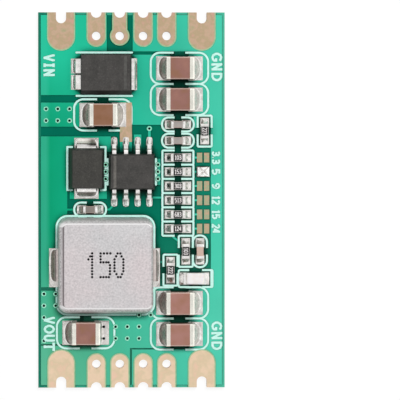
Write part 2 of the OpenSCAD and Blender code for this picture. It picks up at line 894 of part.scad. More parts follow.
// ---- indicator ----

module indicator_base() {
    color("white") at_part(led_x, led_y) flat_chip_body(led_l, led_w, led_base_h);
}

module indicator_lens() {
    top = led_h - led_base_h + end_skin;
    color(lens_white) at_part(led_x, led_y) translate([0, 0, led_base_h - end_skin])
        across_x(led_l - 2 * (led_end + end_inset)) polygon([
            [-led_w / 2, 0],
            [led_w / 2, 0],
            [led_w / 2 - lens_draft, top],
            [lens_draft - led_w / 2, top]]);
}

module indicator_ends() {
    color(tin) at_part(led_x, led_y) flat_chip_ends(led_l, led_w, led_base_h, led_end);
}

// ---- moulded bodies with drafted sides ----

// Side of a body moulded in two halves. The parting line is at mid, where it is widest.
module drafted_side(l, h, mid, lean) {
    low = l / 2 - lean * mid / h;
    high = l / 2 - lean * (h - mid) / h;
    polygon([
        [-low, 0], [low, 0], [l / 2, mid], [high, h - ic_edge],
        [high - ic_edge, h], [ic_edge - high, h], [-high, h - ic_edge], [-l / 2, mid]]);
}

module drafted_body(l, w, h, mid, lean) {
    intersection() {
        across_y(w) drafted_side(l, h, mid, lean);
        across_x(l) drafted_side(w, h, mid, lean);
    }
}

// ---- controller ----

// Path of one leg from inside the body to the toe, in Y and Z above the solder
function leg_path() =
    let (r = leg_bend_r,
         top = ic_gap + ic_mid,
         low = leg_t / 2)
    concat(
        [[ic_w / 2 - leg_in, top]],
        arc([leg_row - r, top - r], r, 90, leg_lean, 5),
        arc([leg_row + (top - low - 2 * r) * tan(leg_lean) + r, low + r], r, 180 + leg_lean, 270, 5),
        [[leg_end, low]]);

module controller_legs_plain() {
    for (side = [0, 180], i = [-1.5 : 1.5])
        rotate(side) translate([i * leg_pitch, 0]) across_x(leg_w) strip_outline(leg_path(), leg_t);
}

module heat_pad_plain() {
    linear_extrude(ic_gap + heat_pad_t) square(heat_pad, center = true);
}

module controller_body() {
    color(black) at_part(ic_x, ic_y) difference() {
        translate([0, 0, ic_gap]) drafted_body(ic_l, ic_w, ic_h, ic_mid, ic_lean);
        // index bar across the end of the first leg
        translate([-ic_l / 2 + index_bar_in, -ic_w / 2 + index_bar_end, ic_gap + ic_h - index_bar_deep])
            cube([index_bar_w, ic_w - 2 * index_bar_end, 1]);
        heat_pad_plain();
        controller_legs_plain();
    }
}

module controller_heat_pad() {
    color(tin) at_part(ic_x, ic_y) heat_pad_plain();
}

module controller_legs() {
    color(tin) at_part(ic_x, ic_y) controller_legs_plain();
}

// ---- flat diode ----

module flat_legs_plain() {
    for (s = [-1, 1])
        translate([-flat_diode_l / 2 - flat_leg_out, (s * flat_leg_pitch - flat_leg_w) / 2, 0])
            cube([flat_leg_out + flat_leg_in, flat_leg_w, flat_leg_t]);
}

module flat_tab_plain() {
    translate([flat_tab_heel, -flat_tab_w / 2, 0])
        cube([flat_diode_l / 2 + flat_tab_out - flat_tab_heel, flat_tab_w, flat_leg_t]);
}

module input_diode_body() {
    color(black) at_part(flat_diode_x, flat_diode_y) difference() {
        drafted_body(flat_diode_l, flat_diode_w, flat_diode_h, flat_leg_t, flat_lean);
        flat_legs_plain();
        flat_tab_plain();
    }
}

module input_diode_anode_legs() {
    color(tin) at_part(flat_diode_x, flat_diode_y) flat_legs_plain();
}

module input_diode_cathode_tab() {
    color(tin) at_part(flat_diode_x, flat_diode_y) flat_tab_plain();
}

// ---- folded legs, shared by the box diode and the inductor ----

// Path from inside a body at x = from and height top, out to x = out, down,
// and back under the body to x = back
function folded_path(from, out, back, top, r, t) =
    concat(
        [[from, top]],
        arc([out - r, top - r], r, 90, 0),
        arc([out - r, t / 2 + r], r, 0, -90),
        [[back, t / 2]]);

module box_legs_plain() {
    half = box_diode_l / 2;
    path = folded_path(half - box_leg_in, half + box_leg_out, half - box_foot + box_leg_out,
        box_mid, box_leg_r, box_leg_t);
    for (side = [0, 180]) rotate(side) across_y(box_leg_w) strip_outline(path, box_leg_t);
}

module box_diode_body() {
    color(black) at_part(box_diode_x, box_diode_y, 90) difference() {
        translate([0, 0, box_gap])
            drafted_body(box_diode_l, box_diode_w, box_diode_h - box_gap, box_mid - box_gap, box_lean);
        box_legs_plain();
    }
}

module box_diode_legs() {
    color(tin) at_part(box_diode_x, box_diode_y, 90) box_legs_plain();
}

// ---- inductor ----

// Side of the pressed block: a slight draft, then a sloped shoulder up to the top
module coil_side(l, draft, slope) {
    h = coil_h - coil_gap;
    low = l / 2 - draft;
    polygon([
        [-l / 2, 0], [l / 2, 0],
        [low, h - coil_shoulder],
        [low - slope * shoulder_break, h - coil_shoulder * shoulder_break],
        [low - slope, h],
        [slope - low, h],
        [slope * shoulder_break - low, h - coil_shoulder * shoulder_break],
        [-low, h - coil_shoulder]]);
}

module coil_terminals_plain() {
    half = coil_l / 2;
    path = folded_path(half - coil_tab_in, half + coil_tab_out, half - coil_foot,
        coil_tab_z, coil_tab_r, coil_tab_t);
    for (side = [0, 180]) rotate(side) across_y(coil_tab_w) strip_outline(path, coil_tab_t);
}

module inductor_body() {
    color(coil_grey) at_part(coil_x, coil_y) difference() {
        translate([0, 0, coil_gap]) intersection() {
            linear_extrude(coil_h) round_rect([coil_l, coil_w], coil_r);
            across_y(coil_w) coil_side(coil_l, coil_draft[0], coil_slope[0]);
            across_x(coil_l) coil_side(coil_w, coil_draft[1], coil_slope[1]);
        }
        coil_terminals_plain();
    }
}

module inductor_terminals() {
    color(tin) at_part(coil_x, coil_y) coil_terminals_plain();
}

// ---- solder ----

// Both ends of a part that lies along X
module solder_ends(l, land, pad_l, w, rise) {
    for (side = [0, 180])
        rotate(side) across_y(w) solder_side(land / 2 - pad_l, l / 2, land / 2, rise);
}

module small_chip_solder(p, h) {
    translate([p[0], p[1]]) rotate(p[2])
        solder_ends(chip_l, chip_land_l, chip_land_each, chip_w - 2 * end_inset, h * solder_climb);
}

module chip_solder() {
    difference() {
        for (p = LARGE_CAPS)
            translate(p)
                solder_ends(cap_l, cap_land_l, cap_land_each, cap_w - 2 * end_skin, cap_h * solder_climb);
        // the vias in a land stay open
        translate([0, 0, -cut]) linear_extrude(cap_h) vias_outline(via_hole_d);
    }
    for (p = SMALL_CAPS) small_chip_solder(p, chip_cap_h);
    for (p = RESISTORS) small_chip_solder(p, resistor_end_h);
    translate([led_x, led_y])
        solder_ends(led_l, led_land_l, led_land_each, led_w - 2 * end_skin, led_base_h * solder_climb);
}

module controller_solder() {
    for (side = [0, 180], i = [-1.5 : 1.5])
        rotate(side) translate([i * leg_pitch, 0])
            across_x(leg_w + 2 * end_inset)
                solder_side(leg_end - leg_heel, leg_end, leg_end + leg_toe - end_skin, leg_t * solder_climb);
    linear_extrude(solder_t) square(heat_pad, center = true);
}

module flat_diode_solder() {
    half = flat_diode_l / 2;
    for (s = [-1, 1])
        translate([0, s * flat_leg_pitch / 2]) rotate(180) across_y(flat_leg_w)
            solder_side(half - flat_land_in, half + flat_leg_out, half + flat_land_out,
                flat_leg_t * solder_climb);
    across_y(flat_tab_w)
        solder_side(flat_tab_heel, half + flat_tab_out, half + tab_land_out, flat_leg_t * solder_climb);
}

// Both joints of a part whose legs fold under it, each against the outside of its leg
module folded_solder(heel, leg, toe, w, rise) {
    for (side = [0, 180]) rotate(side) across_y(w) solder_side(heel, leg, toe, rise);
}

module solder_joints() {
    color(tin) translate([0, 0, face_z]) {
        chip_solder();
        translate([ic_x, ic_y]) controller_solder();
        translate([flat_diode_x, flat_diode_y]) flat_diode_solder();
        translate([box_diode_x, box_diode_y]) rotate(90)
            folded_solder(box_land_l / 2 - box_land_each, (box_diode_l + box_leg_t) / 2 + box_leg_out,
                box_land_l / 2, box_leg_w, box_joint_h);
        translate([coil_x, coil_y])
            folded_solder(coil_l / 2 - coil_foot, (coil_l + coil_tab_t) / 2 + coil_tab_out,
                coil_land_l / 2 - coil_joint_in, coil_tab_w, coil_joint_h);
    }
}

// A low bead of solder that closes the second jumper
module jumper_solder_bridge() {
    wide = 2 * jumper_pad_w + jumper_gap;
    r = (wide * wide / 4 + jumper_pad_h * jumper_pad_h / 4 + bead_h * bead_h) / (2 * bead_h);
    color(tin) translate([jumper_x, ROWS[1], face_z]) intersection() {
        translate([0, 0, bead_h - r]) sphere(r, $fn = 96);
        linear_extrude(bead_h) square([wide, jumper_pad_h], center = true);
    }
}

circuit_board();
top_copper_areas();
bare_supply_strip();
castellated_power_pads();
castellated_signal_pads();
component_lands();
jumper_pads();
via_barrels();
ink_outlines();
solder_joints();
jumper_solder_bridge();
input_diode_body();
input_diode_anode_legs();
input_diode_cathode_tab();
box_diode_body();
box_diode_legs();
controller_body();
controller_legs();
controller_heat_pad();
inductor_body();
inductor_terminals();
indicator_base();
indicator_lens();
indicator_ends();
for (i = [1 : 6]) {
    large_capacitor_ceramic(i - 1);
    large_capacitor_ends(i - 1);
}
for (i = [1 : 4])
    small_capacitor_ceramic(i - 1);
small_capacitor_ends();
for (i = [1 : 9])
    resistor_substrate(i - 1);
resistor_glazes();
resistor_ends();
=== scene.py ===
"""Looks of the step-down converter module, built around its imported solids."""

import math

import bmesh
import bpy
from mathutils import Matrix, Vector

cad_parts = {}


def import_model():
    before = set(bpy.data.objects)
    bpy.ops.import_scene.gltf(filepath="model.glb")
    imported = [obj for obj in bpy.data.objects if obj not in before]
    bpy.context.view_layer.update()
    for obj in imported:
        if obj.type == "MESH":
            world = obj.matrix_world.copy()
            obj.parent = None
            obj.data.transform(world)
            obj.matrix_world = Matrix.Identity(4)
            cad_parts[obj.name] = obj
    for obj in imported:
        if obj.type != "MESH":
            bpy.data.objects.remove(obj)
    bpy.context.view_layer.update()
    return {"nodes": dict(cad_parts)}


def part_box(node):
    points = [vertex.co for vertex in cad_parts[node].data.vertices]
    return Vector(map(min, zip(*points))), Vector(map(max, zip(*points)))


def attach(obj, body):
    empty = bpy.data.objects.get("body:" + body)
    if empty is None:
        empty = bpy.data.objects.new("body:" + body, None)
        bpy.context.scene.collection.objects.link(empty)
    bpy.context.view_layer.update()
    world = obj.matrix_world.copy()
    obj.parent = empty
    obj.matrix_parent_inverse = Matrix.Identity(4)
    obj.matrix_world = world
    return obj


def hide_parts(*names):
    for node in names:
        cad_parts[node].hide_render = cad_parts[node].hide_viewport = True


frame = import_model()

MM = 0.001
MERGE = 1e-7  # vertices closer than this are one
NORMAL = 1000  # the length of a normal, where lengths are given in millimetres
FACE_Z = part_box("castellated_power_pads")[1].z  # the board's component face
SUNK_Z = FACE_Z - 0.01 * MM  # flat trim starts this little way inside the face
UP, RIGHT, FRONT = Vector((0, 0, 1)), Vector((1, 0, 0)), Vector((0, -1, 0))


# ---- places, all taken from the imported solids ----

def centre(box):
    return (box[0] + box[1]) / 2


def mid(node):
    return centre(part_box(node))


def merged(node):
    """A node's mesh, without doubled vertices."""
    bm = bmesh.new()
    bm.from_mesh(frame["nodes"][node].data)
    bmesh.ops.remove_doubles(bm, verts=bm.verts, dist=MERGE)
    return bm


def islands(node):
    """The boxes of a node's separate solids, as (low, high) pairs."""
    bm = merged(node)
    seen, boxes = set(), []
    for start in bm.verts:
        if start in seen:
            continue
        seen.add(start)
        stack, group = [start], []
        while stack:
            v = stack.pop()
            group.append(v.co.copy())
            for e in v.link_edges:
                w = e.other_vert(v)
                if w not in seen:
                    seen.add(w)
                    stack.append(w)
        boxes.append([Vector([pick(c[i] for c in group) for i in range(3)]) for pick in (min, max)])
    bm.free()
    return boxes


def near(boxes, point, reach):
    return [box for box in boxes if (centre(box) - point).to_2d().length < reach]


LANDS = islands("component_lands")
BIG_CAPS = [f"large_capacitor_{i}" for i in range(1, 7)]
SMALL_CAPS = [f"small_capacitor_{i}" for i in range(1, 5)]
RESISTORS = [f"resistor_{i}" for i in range(1, 10)]
JUMPED = RESISTORS[:6]  # one beside each jumper


# ---- materials ----

def srgb(r, g, b):
    """Linear colour from 0 to 255 display values."""
    return tuple(((c / 255 + 0.055) / 1.055) ** 2.4 if c > 10 else c / 255 / 12.92
                 for c in (r, g, b)) + (1.0,)


class Tree:
    """Builds a node tree. Triples are colours in display values, lists are linear ones."""

    def __init__(self, tree):
        self.tree = tree

    def put(self, socket, value):
        """Links a socket to another node's output, or sets its value."""
        if isinstance(value, bpy.types.NodeSocket):
            self.tree.links.new(value, socket)
        else:
            socket.default_value = srgb(*value) if isinstance(value, tuple) else value

    def add(self, kind, **values):
        node = self.tree.nodes.new(kind)
        for key, value in values.items():
            if hasattr(node, key):
                setattr(node, key, value)
            else:
                self.put(node.inputs[key], value)
        return node

    def run(self, kind, *values, **settings):
        """Adds a node with its inputs in their order, and gives its first output."""
        node = self.add(kind, **settings)
        for socket, value in zip(node.inputs, values):
            self.put(socket, value)
        return node.outputs[0]

    def calc(self, operation, *values):
        return self.run("ShaderNodeMath", *values, operation=operation)

    def split(self, vector):
        return self.add("ShaderNodeSeparateXYZ", Vector=vector).outputs

    def ramp(self, value, *stops):
        """A ramp of (place, tone) stops. A tone is a display colour or a linear grey."""
        node = self.add("ShaderNodeValToRGB", Fac=value)
        elements = node.color_ramp.elements
        while len(elements) < len(stops):
            elements.new(0.5)
        for element, (place, tone) in zip(elements, stops):
            element.position = place
            element.color = srgb(*tone) if isinstance(tone, tuple) else (tone, tone, tone, 1)
        return node.outputs["Color"]

    def mix(self, factor, a, b, blend="MIX"):
        node = self.add("ShaderNodeMix", data_type="RGBA", blend_type=blend)
        # the sockets of a colour mix stand behind those of numbers and vectors
        for place, value in (("Factor", factor), (6, a), (7, b)):
            self.put(node.inputs[place], value)
        return node.outputs[2]

    def times(self, a, b):
        return self.mix(1.0, a, b, "MULTIPLY")


class Surface(Tree):
    """The node tree of a material. Its sizes are in millimetres."""

    def __init__(self, name):
        self.mat = bpy.data.materials.new(name)
        self.mat.use_nodes = True
        super().__init__(self.mat.node_tree)
        self.bsdf = self.tree.nodes["Principled BSDF"]
        self.coord = self.add("ShaderNodeTexCoord").outputs["Object"]

    def noise(self, size, detail, stretch=(1, 1, 1)):
        """Noise whose patches are about `size` across."""
        scaled = self.add("ShaderNodeMapping", Vector=self.coord,
                          Scale=[s / (size * MM) for s in stretch]).outputs["Vector"]
        node = self.add("ShaderNodeTexNoise", Vector=scaled, Scale=1.0, Detail=detail)
        return node.outputs["Fac"]

    def patches(self, size, detail, *stops):
        return self.ramp(self.noise(size, detail), *stops)

    def bump(self, size, detail, height, edge=0.0):
        """Noisy bump of the given height, on top of edges rounded by `edge`."""
        node = self.add("ShaderNodeBump", Strength=1.0, Distance=height * MM,
                        Height=self.noise(size, detail))
        if edge:
            bevel = self.add("ShaderNodeBevel", samples=6, Radius=edge * MM)
            self.put(node.inputs["Normal"], bevel.outputs["Normal"])
        self.put(self.bsdf.inputs["Normal"], node.outputs["Normal"])

    def done(self, colour, rough, metallic=0.0, specular=0.5):
        for key, value in (("Base Color", colour), ("Roughness", rough), ("Metallic", metallic),
                           ("Specular IOR Level", specular)):
            self.put(self.bsdf.inputs[key], value)
        return self.mat

    def between(self, value, low, high):
        """Maps low..high millimetres to 0..1."""
        return self.run("ShaderNodeMapRange", value, low * MM, high * MM)

    def along(self, name, low, high):
        """0 to 1 between two places on one of the object's own axes."""
        return self.between(self.split(self.coord)[name], low, high)

    def rightwards(self):
        """0 at the board's left edge, 1 at its right."""
        return self.along("X", -10, 10)

    def band(self, name, low, high, soft=0.04):
        """Weight of a band across an axis, with soft edges."""
        return self.times(self.along(name, low - soft, low + soft),
                          self.along(name, high + soft, high - soft))

    def normal(self):
        return self.split(self.add("ShaderNodeNewGeometry").outputs["Normal"])

    def steepness(self):
        """0 on a flat face, 1 on an upright one."""
        return self.calc("SUBTRACT", 1.0, self.calc("ABSOLUTE", self.normal()["Z"]))


def lower_left(n):
    """0 over most of the board, rising towards its lower left corner."""
    return n.times(n.ramp(n.along("Y", 0, -20), (0.3, 0.0), (1.0, 0.8)),
                   n.ramp(n.rightwards(), (0.1, 1.0), (0.8, 0.0)))


def lower_end(n, share):
    """Weight of the lower half of the board, where the mask is a little paler."""
    return n.ramp(n.along("Y", -20, 0), (0.35, share), (0.85, 0.0))


def painted_gap_shade(n, colour):
    """Painted shade: darkens a surface in the narrow gaps and corners, where shade falls."""
    gap = n.add("ShaderNodeAmbientOcclusion", samples=8, Distance=1.0 * MM)
    shade = n.ramp(gap.outputs["AO"], (0.45, 0.05), (0.65, 0.16), (0.80, 0.58), (0.93, 1.0))
    return n.times(colour, shade)


def orange_peel(n):
    n.bump(0.35, 2.0, 0.003)


def mask_material():
    """Solder mask over copper: paler to the right as painted light, a painted highlight at the left
    edge, a slow drift of colour, fine orange peel, painted shade in gaps.
    """
    n = Surface("mask_over_copper")
    # painted light: paler towards the right, where the light falls; the pale first stops are a
    # painted highlight along the left edge
    colour = n.ramp(n.rightwards(), (0.0, (46, 176, 138)), (0.035, (52, 180, 142)),
                    (0.06, (14, 166, 120)), (0.12, (18, 172, 128)), (0.5, (44, 190, 156)),
                    (1.0, (76, 208, 177)))
    colour = n.mix(lower_left(n), colour, (98, 190, 150))
    upper_left = n.times(n.ramp(n.along("Y", 8, 20), (0.0, 0.0), (0.6, 0.7)),
                         n.ramp(n.rightwards(), (0.1, 1.0), (0.6, 0.0)))
    colour = n.mix(upper_left, colour, (44, 208, 168))
    colour = n.mix(lower_end(n, 0.06), colour, (178, 255, 234))
    drift = n.patches(6, 2.0, (0.3, 0.94), (0.7, 1.06))
    orange_peel(n)
    rough = n.patches(2, 3.0, (0.3, 0.30), (0.7, 0.38))
    return n.done(painted_gap_shade(n, n.times(colour, drift)), rough, specular=0.05)


def board_material():
    """Dark mask over laminate with no copper, paler along its edges, paler to the right as painted
    light, with painted shade in its gaps, and the sawn glass-fibre edge.
    """
    n = Surface("board_laminate")
    # painted light: paler towards the right
    face = n.ramp(n.rightwards(), (0.0, (0, 110, 87)), (0.6, (2, 115, 90)), (1.0, (22, 130, 104)))
    face = n.mix(lower_left(n), face, (62, 140, 110))
    face = n.mix(lower_end(n, 0.03), face, (170, 250, 205))
    face = n.times(face, n.patches(5, 2.0, (0.3, 0.92), (0.7, 1.08)))
    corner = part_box("circuit_board")[1] / MM
    inner, outer = 0.31, 0.27  # where the pale rim starts and is full, from the board's edge
    rims = [n.between(n.calc("ABSOLUTE", n.split(n.coord)[name]), edge - inner, edge - outer)
            for name, edge in (("X", corner.x), ("Y", corner.y))]
    # the pale rim is also paler towards the right, as painted light
    pale = n.ramp(n.rightwards(), (0.02, (30, 128, 102)), (0.06, (52, 160, 130)),
                  (1.0, (84, 192, 162)))
    face = n.mix(n.calc("MAXIMUM", *rims), face, pale)
    layers = n.noise(0.16, 2.0, stretch=(0.08, 0.08, 1))
    edge = n.ramp(layers, (0.35, (118, 128, 82)), (0.65, (168, 168, 118)))
    steep = n.ramp(n.steepness(), (0.4, 0.0), (0.6, 1.0))
    orange_peel(n)
    return n.done(n.mix(steep, painted_gap_shade(n, face), edge), 0.36, specular=0.05)


def gold_material(name, upper_tones, lower_tones, size=0.9):
    """Immersion gold, handled and a little tarnished: pink, tan and olive patches."""
    n = Surface(name)
    places = (0.30, 0.45, 0.58, 0.75)
    # the first tones hold at the top of the board, the second towards its bottom
    colour = n.mix(n.along("Y", 4, -16), n.patches(size, 4.0, *zip(places, upper_tones)),
                   n.patches(size * 1.5, 3.0, *zip(places, lower_tones)))
    n.bump(0.14, 3.0, 0.002)
    rough = n.patches(0.5, 3.0, (0.3, 0.42), (0.7, 0.55))
    return n.done(colour, rough, metallic=0.3, specular=0.3)


def flux_film_and_painted_sides(n, metal, left, middle, right):
    """Covers the steep parts of a metal with a thin film of flux, painted shade where they face
    left and painted light where they face right.
    """
    painted_sides = n.ramp(n.between(n.normal()["X"], -NORMAL, NORMAL),
                   (0.1, left), (0.5, middle), (0.8, right))
    streaks = n.ramp(n.noise(0.22, 3.0, stretch=(1, 0.4, 1)), (0.3, 0.62), (0.7, 1.3))
    steep = n.ramp(n.steepness(), (0.30, 0.0), (0.48, 1.0))
    return n.mix(steep, metal, n.times(painted_sides, streaks)), n.ramp(steep, (0.0, 1.0), (1.0, 0.2))


def leg_lands(n, colour, metallic):
    """Painted shade over the lands beside the raised part of the controller's legs, a painted
    highlight on their lower toes, and on the box diode's upper joint a painted highlight at its
    left and painted shade at its right."""
    c = mid("controller_body") / MM
    half_width, half_length = 2.5, 4
    width = n.band("X", c.x - half_width, c.x + half_width)
    along = n.along("Y", c.y - half_length, c.y + half_length)
    # painted shade: the lands beside the raised legs are painted dark green and not metallic
    painted_flank_shade = n.times(width, n.ramp(along, (0.125, 0.0), (0.15, 1.0), (0.85, 1.0), (0.875, 0.0)))
    # painted highlight: the lower row's toes are painted near white
    toes = n.times(width, n.ramp(along, (0.01, 0.0), (0.02, 0.6), (0.09, 0.5), (0.12, 0.0)))
    colour = n.mix(toes, n.mix(painted_flank_shade, colour, (24, 84, 66)), (236, 246, 240))
    metallic = n.mix(painted_flank_shade, metallic, (0, 0, 0))
    # painted highlight at the left of the box diode's upper joint, painted shade at its right
    low, high = (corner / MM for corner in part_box("box_diode_legs"))
    top = n.times(n.band("X", low.x, high.x), n.band("Y", high.y - 0.15, high.y + 0.42))
    glint = n.ramp(n.along("X", low.x, high.x), (0.0, (232, 226, 218)), (0.3, (250, 246, 238)),
                   (0.55, (228, 222, 214)), (0.8, (126, 120, 112)), (1.0, (170, 166, 158)))
    return n.mix(top, colour, glint), n.mix(top, metallic, (60, 60, 60))


def leg_shade(n, colour, metallic):
    """The shaded bend of the box diode's upper leg, darkest at its right."""
    low, high = (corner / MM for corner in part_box("box_diode_legs"))
    bend = n.times(n.band("X", low.x, high.x), n.band("Y", high.y - 0.36, high.y + 0.1))
    shade = n.ramp(n.along("X", low.x, high.x), (0.0, 0.68), (0.45, 0.62), (0.75, 0.2), (1.0, 0.22))
    return n.mix(bend, colour, n.times(colour, shade)), metallic


# film tones facing left, straight on and right: the darker left and paler right tones are painted
# shade and painted light
TIN_FILM_AND_SIDE_LIGHT = ((164, 138, 132), (184, 166, 158), (230, 220, 214))
COIL_FILM_AND_SIDE_LIGHT = ((136, 116, 110), (148, 128, 122), (156, 140, 136))


def metal_material(name, a, b, rough, bump, grain=0.25, film=TIN_FILM_AND_SIDE_LIGHT, places=None):
    """Tinned metal under a film of flux, with painted shade on steep faces turned left and painted
    light on those turned right. places paints shade and highlights into its colour and gloss in
    some places.
    """
    n = Surface(name)
    colour, metallic = flux_film_and_painted_sides(n, n.patches(grain * 3, 3.0, (0.35, a), (0.65, b)), *film)
    if places:
        colour, metallic = places(n, colour, metallic)
    n.bump(grain, 4.0, bump)
    sheen = n.patches(grain * 2, 3.0, (0.3, rough * 0.8), (0.7, rough * 1.25))
    return n.done(colour, sheen, metallic)


def mould_material(name, a, b, gloss=0.5):
    """Black moulding compound: matt grain with paler filler specks, and painted shade on its
    upright faces.
    """
    n = Surface(name)
    colour = n.times(n.patches(0.9, 4.0, (0.35, a), (0.65, b)),
                     n.patches(0.2, 3.0, (0.3, 0.82), (0.7, 1.2)))
    specks = n.patches(0.09, 2.0, (0.60, 0.0), (0.72, 1.0))
    colour = n.mix(specks, colour, n.mix(0.4, colour, (120, 118, 116)))
    # painted shade: upright faces darkened to half
    colour = n.times(colour, n.ramp(n.steepness(), (0.15, 1.0), (0.4, 0.5)))
    n.bump(0.12, 3.0, 0.008, 0.05)
    return n.done(colour, n.patches(0.2, 3.0, (0.3, gloss), (0.7, gloss + 0.15)), specular=0.25)


def inductor_material():
    """Pressed iron powder under a pale coat: packed grains, a few dark pits, a painted highlight on
    the slopes that face front and back, and painted shade along the crease at the shoulder's left."""
    n = Surface("pressed_powder")
    colour = n.times(n.patches(7, 2.0, (0.38, (208, 206, 207)), (0.62, (216, 207, 208))),
                     n.patches(0.2, 4.0, (0.3, 0.84), (0.7, 1.14)))
    colour = n.mix(n.patches(0.25, 2.0, (0.66, 0.0), (0.8, 0.5)), colour, (150, 142, 146))
    side = n.patches(0.16, 3.0, (0.38, (166, 162, 162)), (0.6, (226, 224, 223)))
    colour = n.mix(n.ramp(n.steepness(), (0.25, 0.0), (0.45, 0.9)), colour, side)
    facing = n.normal()
    ends = n.calc("ABSOLUTE", facing["Y"])
    # painted highlight: near white on the slopes that face front and back
    painted_highlight = n.ramp(ends, (0.06, 0.0), (0.2, 0.95), (0.5, 0.8), (0.7, 0.2))
    colour = n.mix(painted_highlight, colour, (255, 254, 253))
    # painted shade: a dark line along the shoulder's crease where it faces left
    left = n.ramp(n.between(facing["X"], 0, -NORMAL),
                  (0.06, 0.0), (0.16, 0.95), (0.5, 0.95), (0.66, 0.0))
    painted_crease_shade = n.times(left, n.ramp(ends, (0.05, 1.0), (0.2, 0.0)))
    colour = n.mix(painted_crease_shade, colour, (112, 104, 106))
    n.bump(0.14, 4.0, 0.016)
    rough = n.patches(0.3, 3.0, (0.3, 0.38), (0.7, 0.5))
    return n.done(colour, rough, metallic=0.1, specular=0.4)


def ceramic_material(name, a, b, c):
    """Fired ceramic, with a painted highlight along its rounded edges."""
    n = Surface(name)
    colour = n.patches(1.3, 3.0, (0.3, a), (0.5, b), (0.72, c))
    # painted highlight: paler on the rounded edges
    painted_highlight = n.ramp(n.steepness(), (0.04, 0.0), (0.2, 0.8), (0.6, 0.8), (0.9, 0.0))
    n.bump(0.1, 3.0, 0.004)
    return n.done(n.mix(painted_highlight, colour, (226, 196, 184)), 0.34, specular=0.4)


def plain_material(name, a, b, rough, specular=0.5):
    n = Surface(name)
    n.bump(0.16, 3.0, 0.003)
    return n.done(n.patches(0.4, 3.0, (0.35, a), (0.65, b)), rough, specular=specular)


def lens_material():
    """Milky resin that lets light in a little."""
    n = Surface("lamp_lens")
    n.bump(0.5, 2.0, 0.004, 0.08)
    for name, value in (("Weight", 0.3), ("Radius", [0.3, 0.28, 0.2]), ("Scale", MM)):
        n.put(n.bsdf.inputs["Subsurface " + name], value)
    return n.done(n.patches(0.6, 2.0, (0.35, (250, 240, 236)), (0.65, (255, 250, 248))), 0.25)


BOARD = board_material()
MASK = mask_material()
GOLD = gold_material("pad_gold",
                     ((210, 168, 148), (190, 168, 134), (206, 174, 148), (176, 172, 132)),
                     ((240, 204, 178), (226, 204, 170), (240, 212, 182), (234, 206, 176)))
JUMPER_GOLD = gold_material("jumper_gold",
                            ((214, 164, 144), (188, 170, 136), (160, 178, 142), (194, 168, 140)),
                            ((212, 164, 144), (194, 174, 142), (168, 180, 146), (196, 172, 144)),
                            0.4)
SOLDER = metal_material("solder", (200, 196, 192), (228, 225, 221), 0.24, 0.008, 0.16,
                        places=leg_lands)
TIN = metal_material("tin_ends", (226, 224, 214), (240, 238, 228), 0.26, 0.006)
LEG = metal_material("tin_legs", (226, 223, 219), (252, 250, 248), 0.24, 0.005, 0.12,
                     places=leg_shade)
TERMINAL = metal_material("coil_terminals", (176, 166, 162), (196, 186, 182), 0.3, 0.006,
                          film=COIL_FILM_AND_SIDE_LIGHT)
INK = plain_material("board_ink", (198, 252, 236), (216, 255, 247), 0.6, specular=0.2)
MOULD = mould_material("mould_compound", (62, 61, 59), (74, 72, 70))
MOULD_DARK = mould_material("mould_compound_dark", (58, 57, 54), (66, 65, 61), 0.45)
BAR = mould_material("polished_mould", (98, 95, 91), (110, 107, 102), 0.3)
POWDER = inductor_material()
CERAMIC = ceramic_material("capacitor_ceramic", (146, 104, 82), (150, 106, 96), (162, 116, 102))
WARM_CERAMIC = ceramic_material("warm_ceramic", (132, 92, 62), (142, 100, 74), (146, 106, 84))
PINK_CERAMIC = ceramic_material("pink_ceramic", (162, 116, 96), (170, 122, 110), (174, 128, 118))
PALE_CERAMIC = ceramic_material("pale_ceramic", (162, 156, 152), (174, 165, 160), (190, 173, 165))
ROSE_CERAMIC = ceramic_material("rose_ceramic", (202, 174, 157), (208, 180, 165), (214, 188, 175))
GREY_CERAMIC = ceramic_material("grey_ceramic", (126, 120, 116), (136, 128, 122), (146, 136, 128))
ALUMINA = plain_material("alumina", (214, 214, 208), (232, 232, 226), 0.55)
GLAZE = plain_material("resistor_glaze", (34, 32, 32), (48, 45, 44), 0.3, specular=0.3)
LAMP = plain_material("lamp_base", (226, 226, 218), (240, 238, 230), 0.5)
LENS = lens_material()
# painted shade: near-black, standing in for the inside of each via's hole
PAINTED_HOLE_SHADE = plain_material("via_plug", (4, 16, 14), (8, 26, 22), 0.6, specular=0.1)
RING = plain_material("via_ring", (150, 232, 200), (178, 242, 216), 0.35, specular=0.2)
MARK = plain_material("laser_mark", (16, 14, 16), (30, 28, 30), 0.7, specular=0.1)
DIGIT = plain_material("resistor_digits", (226, 220, 218), (246, 242, 240), 0.6)
BAND = plain_material("cathode_ink", (76, 75, 73), (88, 87, 84), 0.5, specular=0.3)
# laminate colour darkened with painted shade of the gap round each small land
MOAT_AND_SHADE = plain_material("laminate_and_painted_shade", (16, 62, 48), (24, 76, 58), 0.6, specular=0.1)
LIP = plain_material("mask_lip", (150, 196, 150), (176, 206, 164), 0.4, specular=0.2)


def dress(material, *nodes):
    for name in nodes:
        data = frame["nodes"][name].data
        data.materials.clear()
        data.materials.append(material)


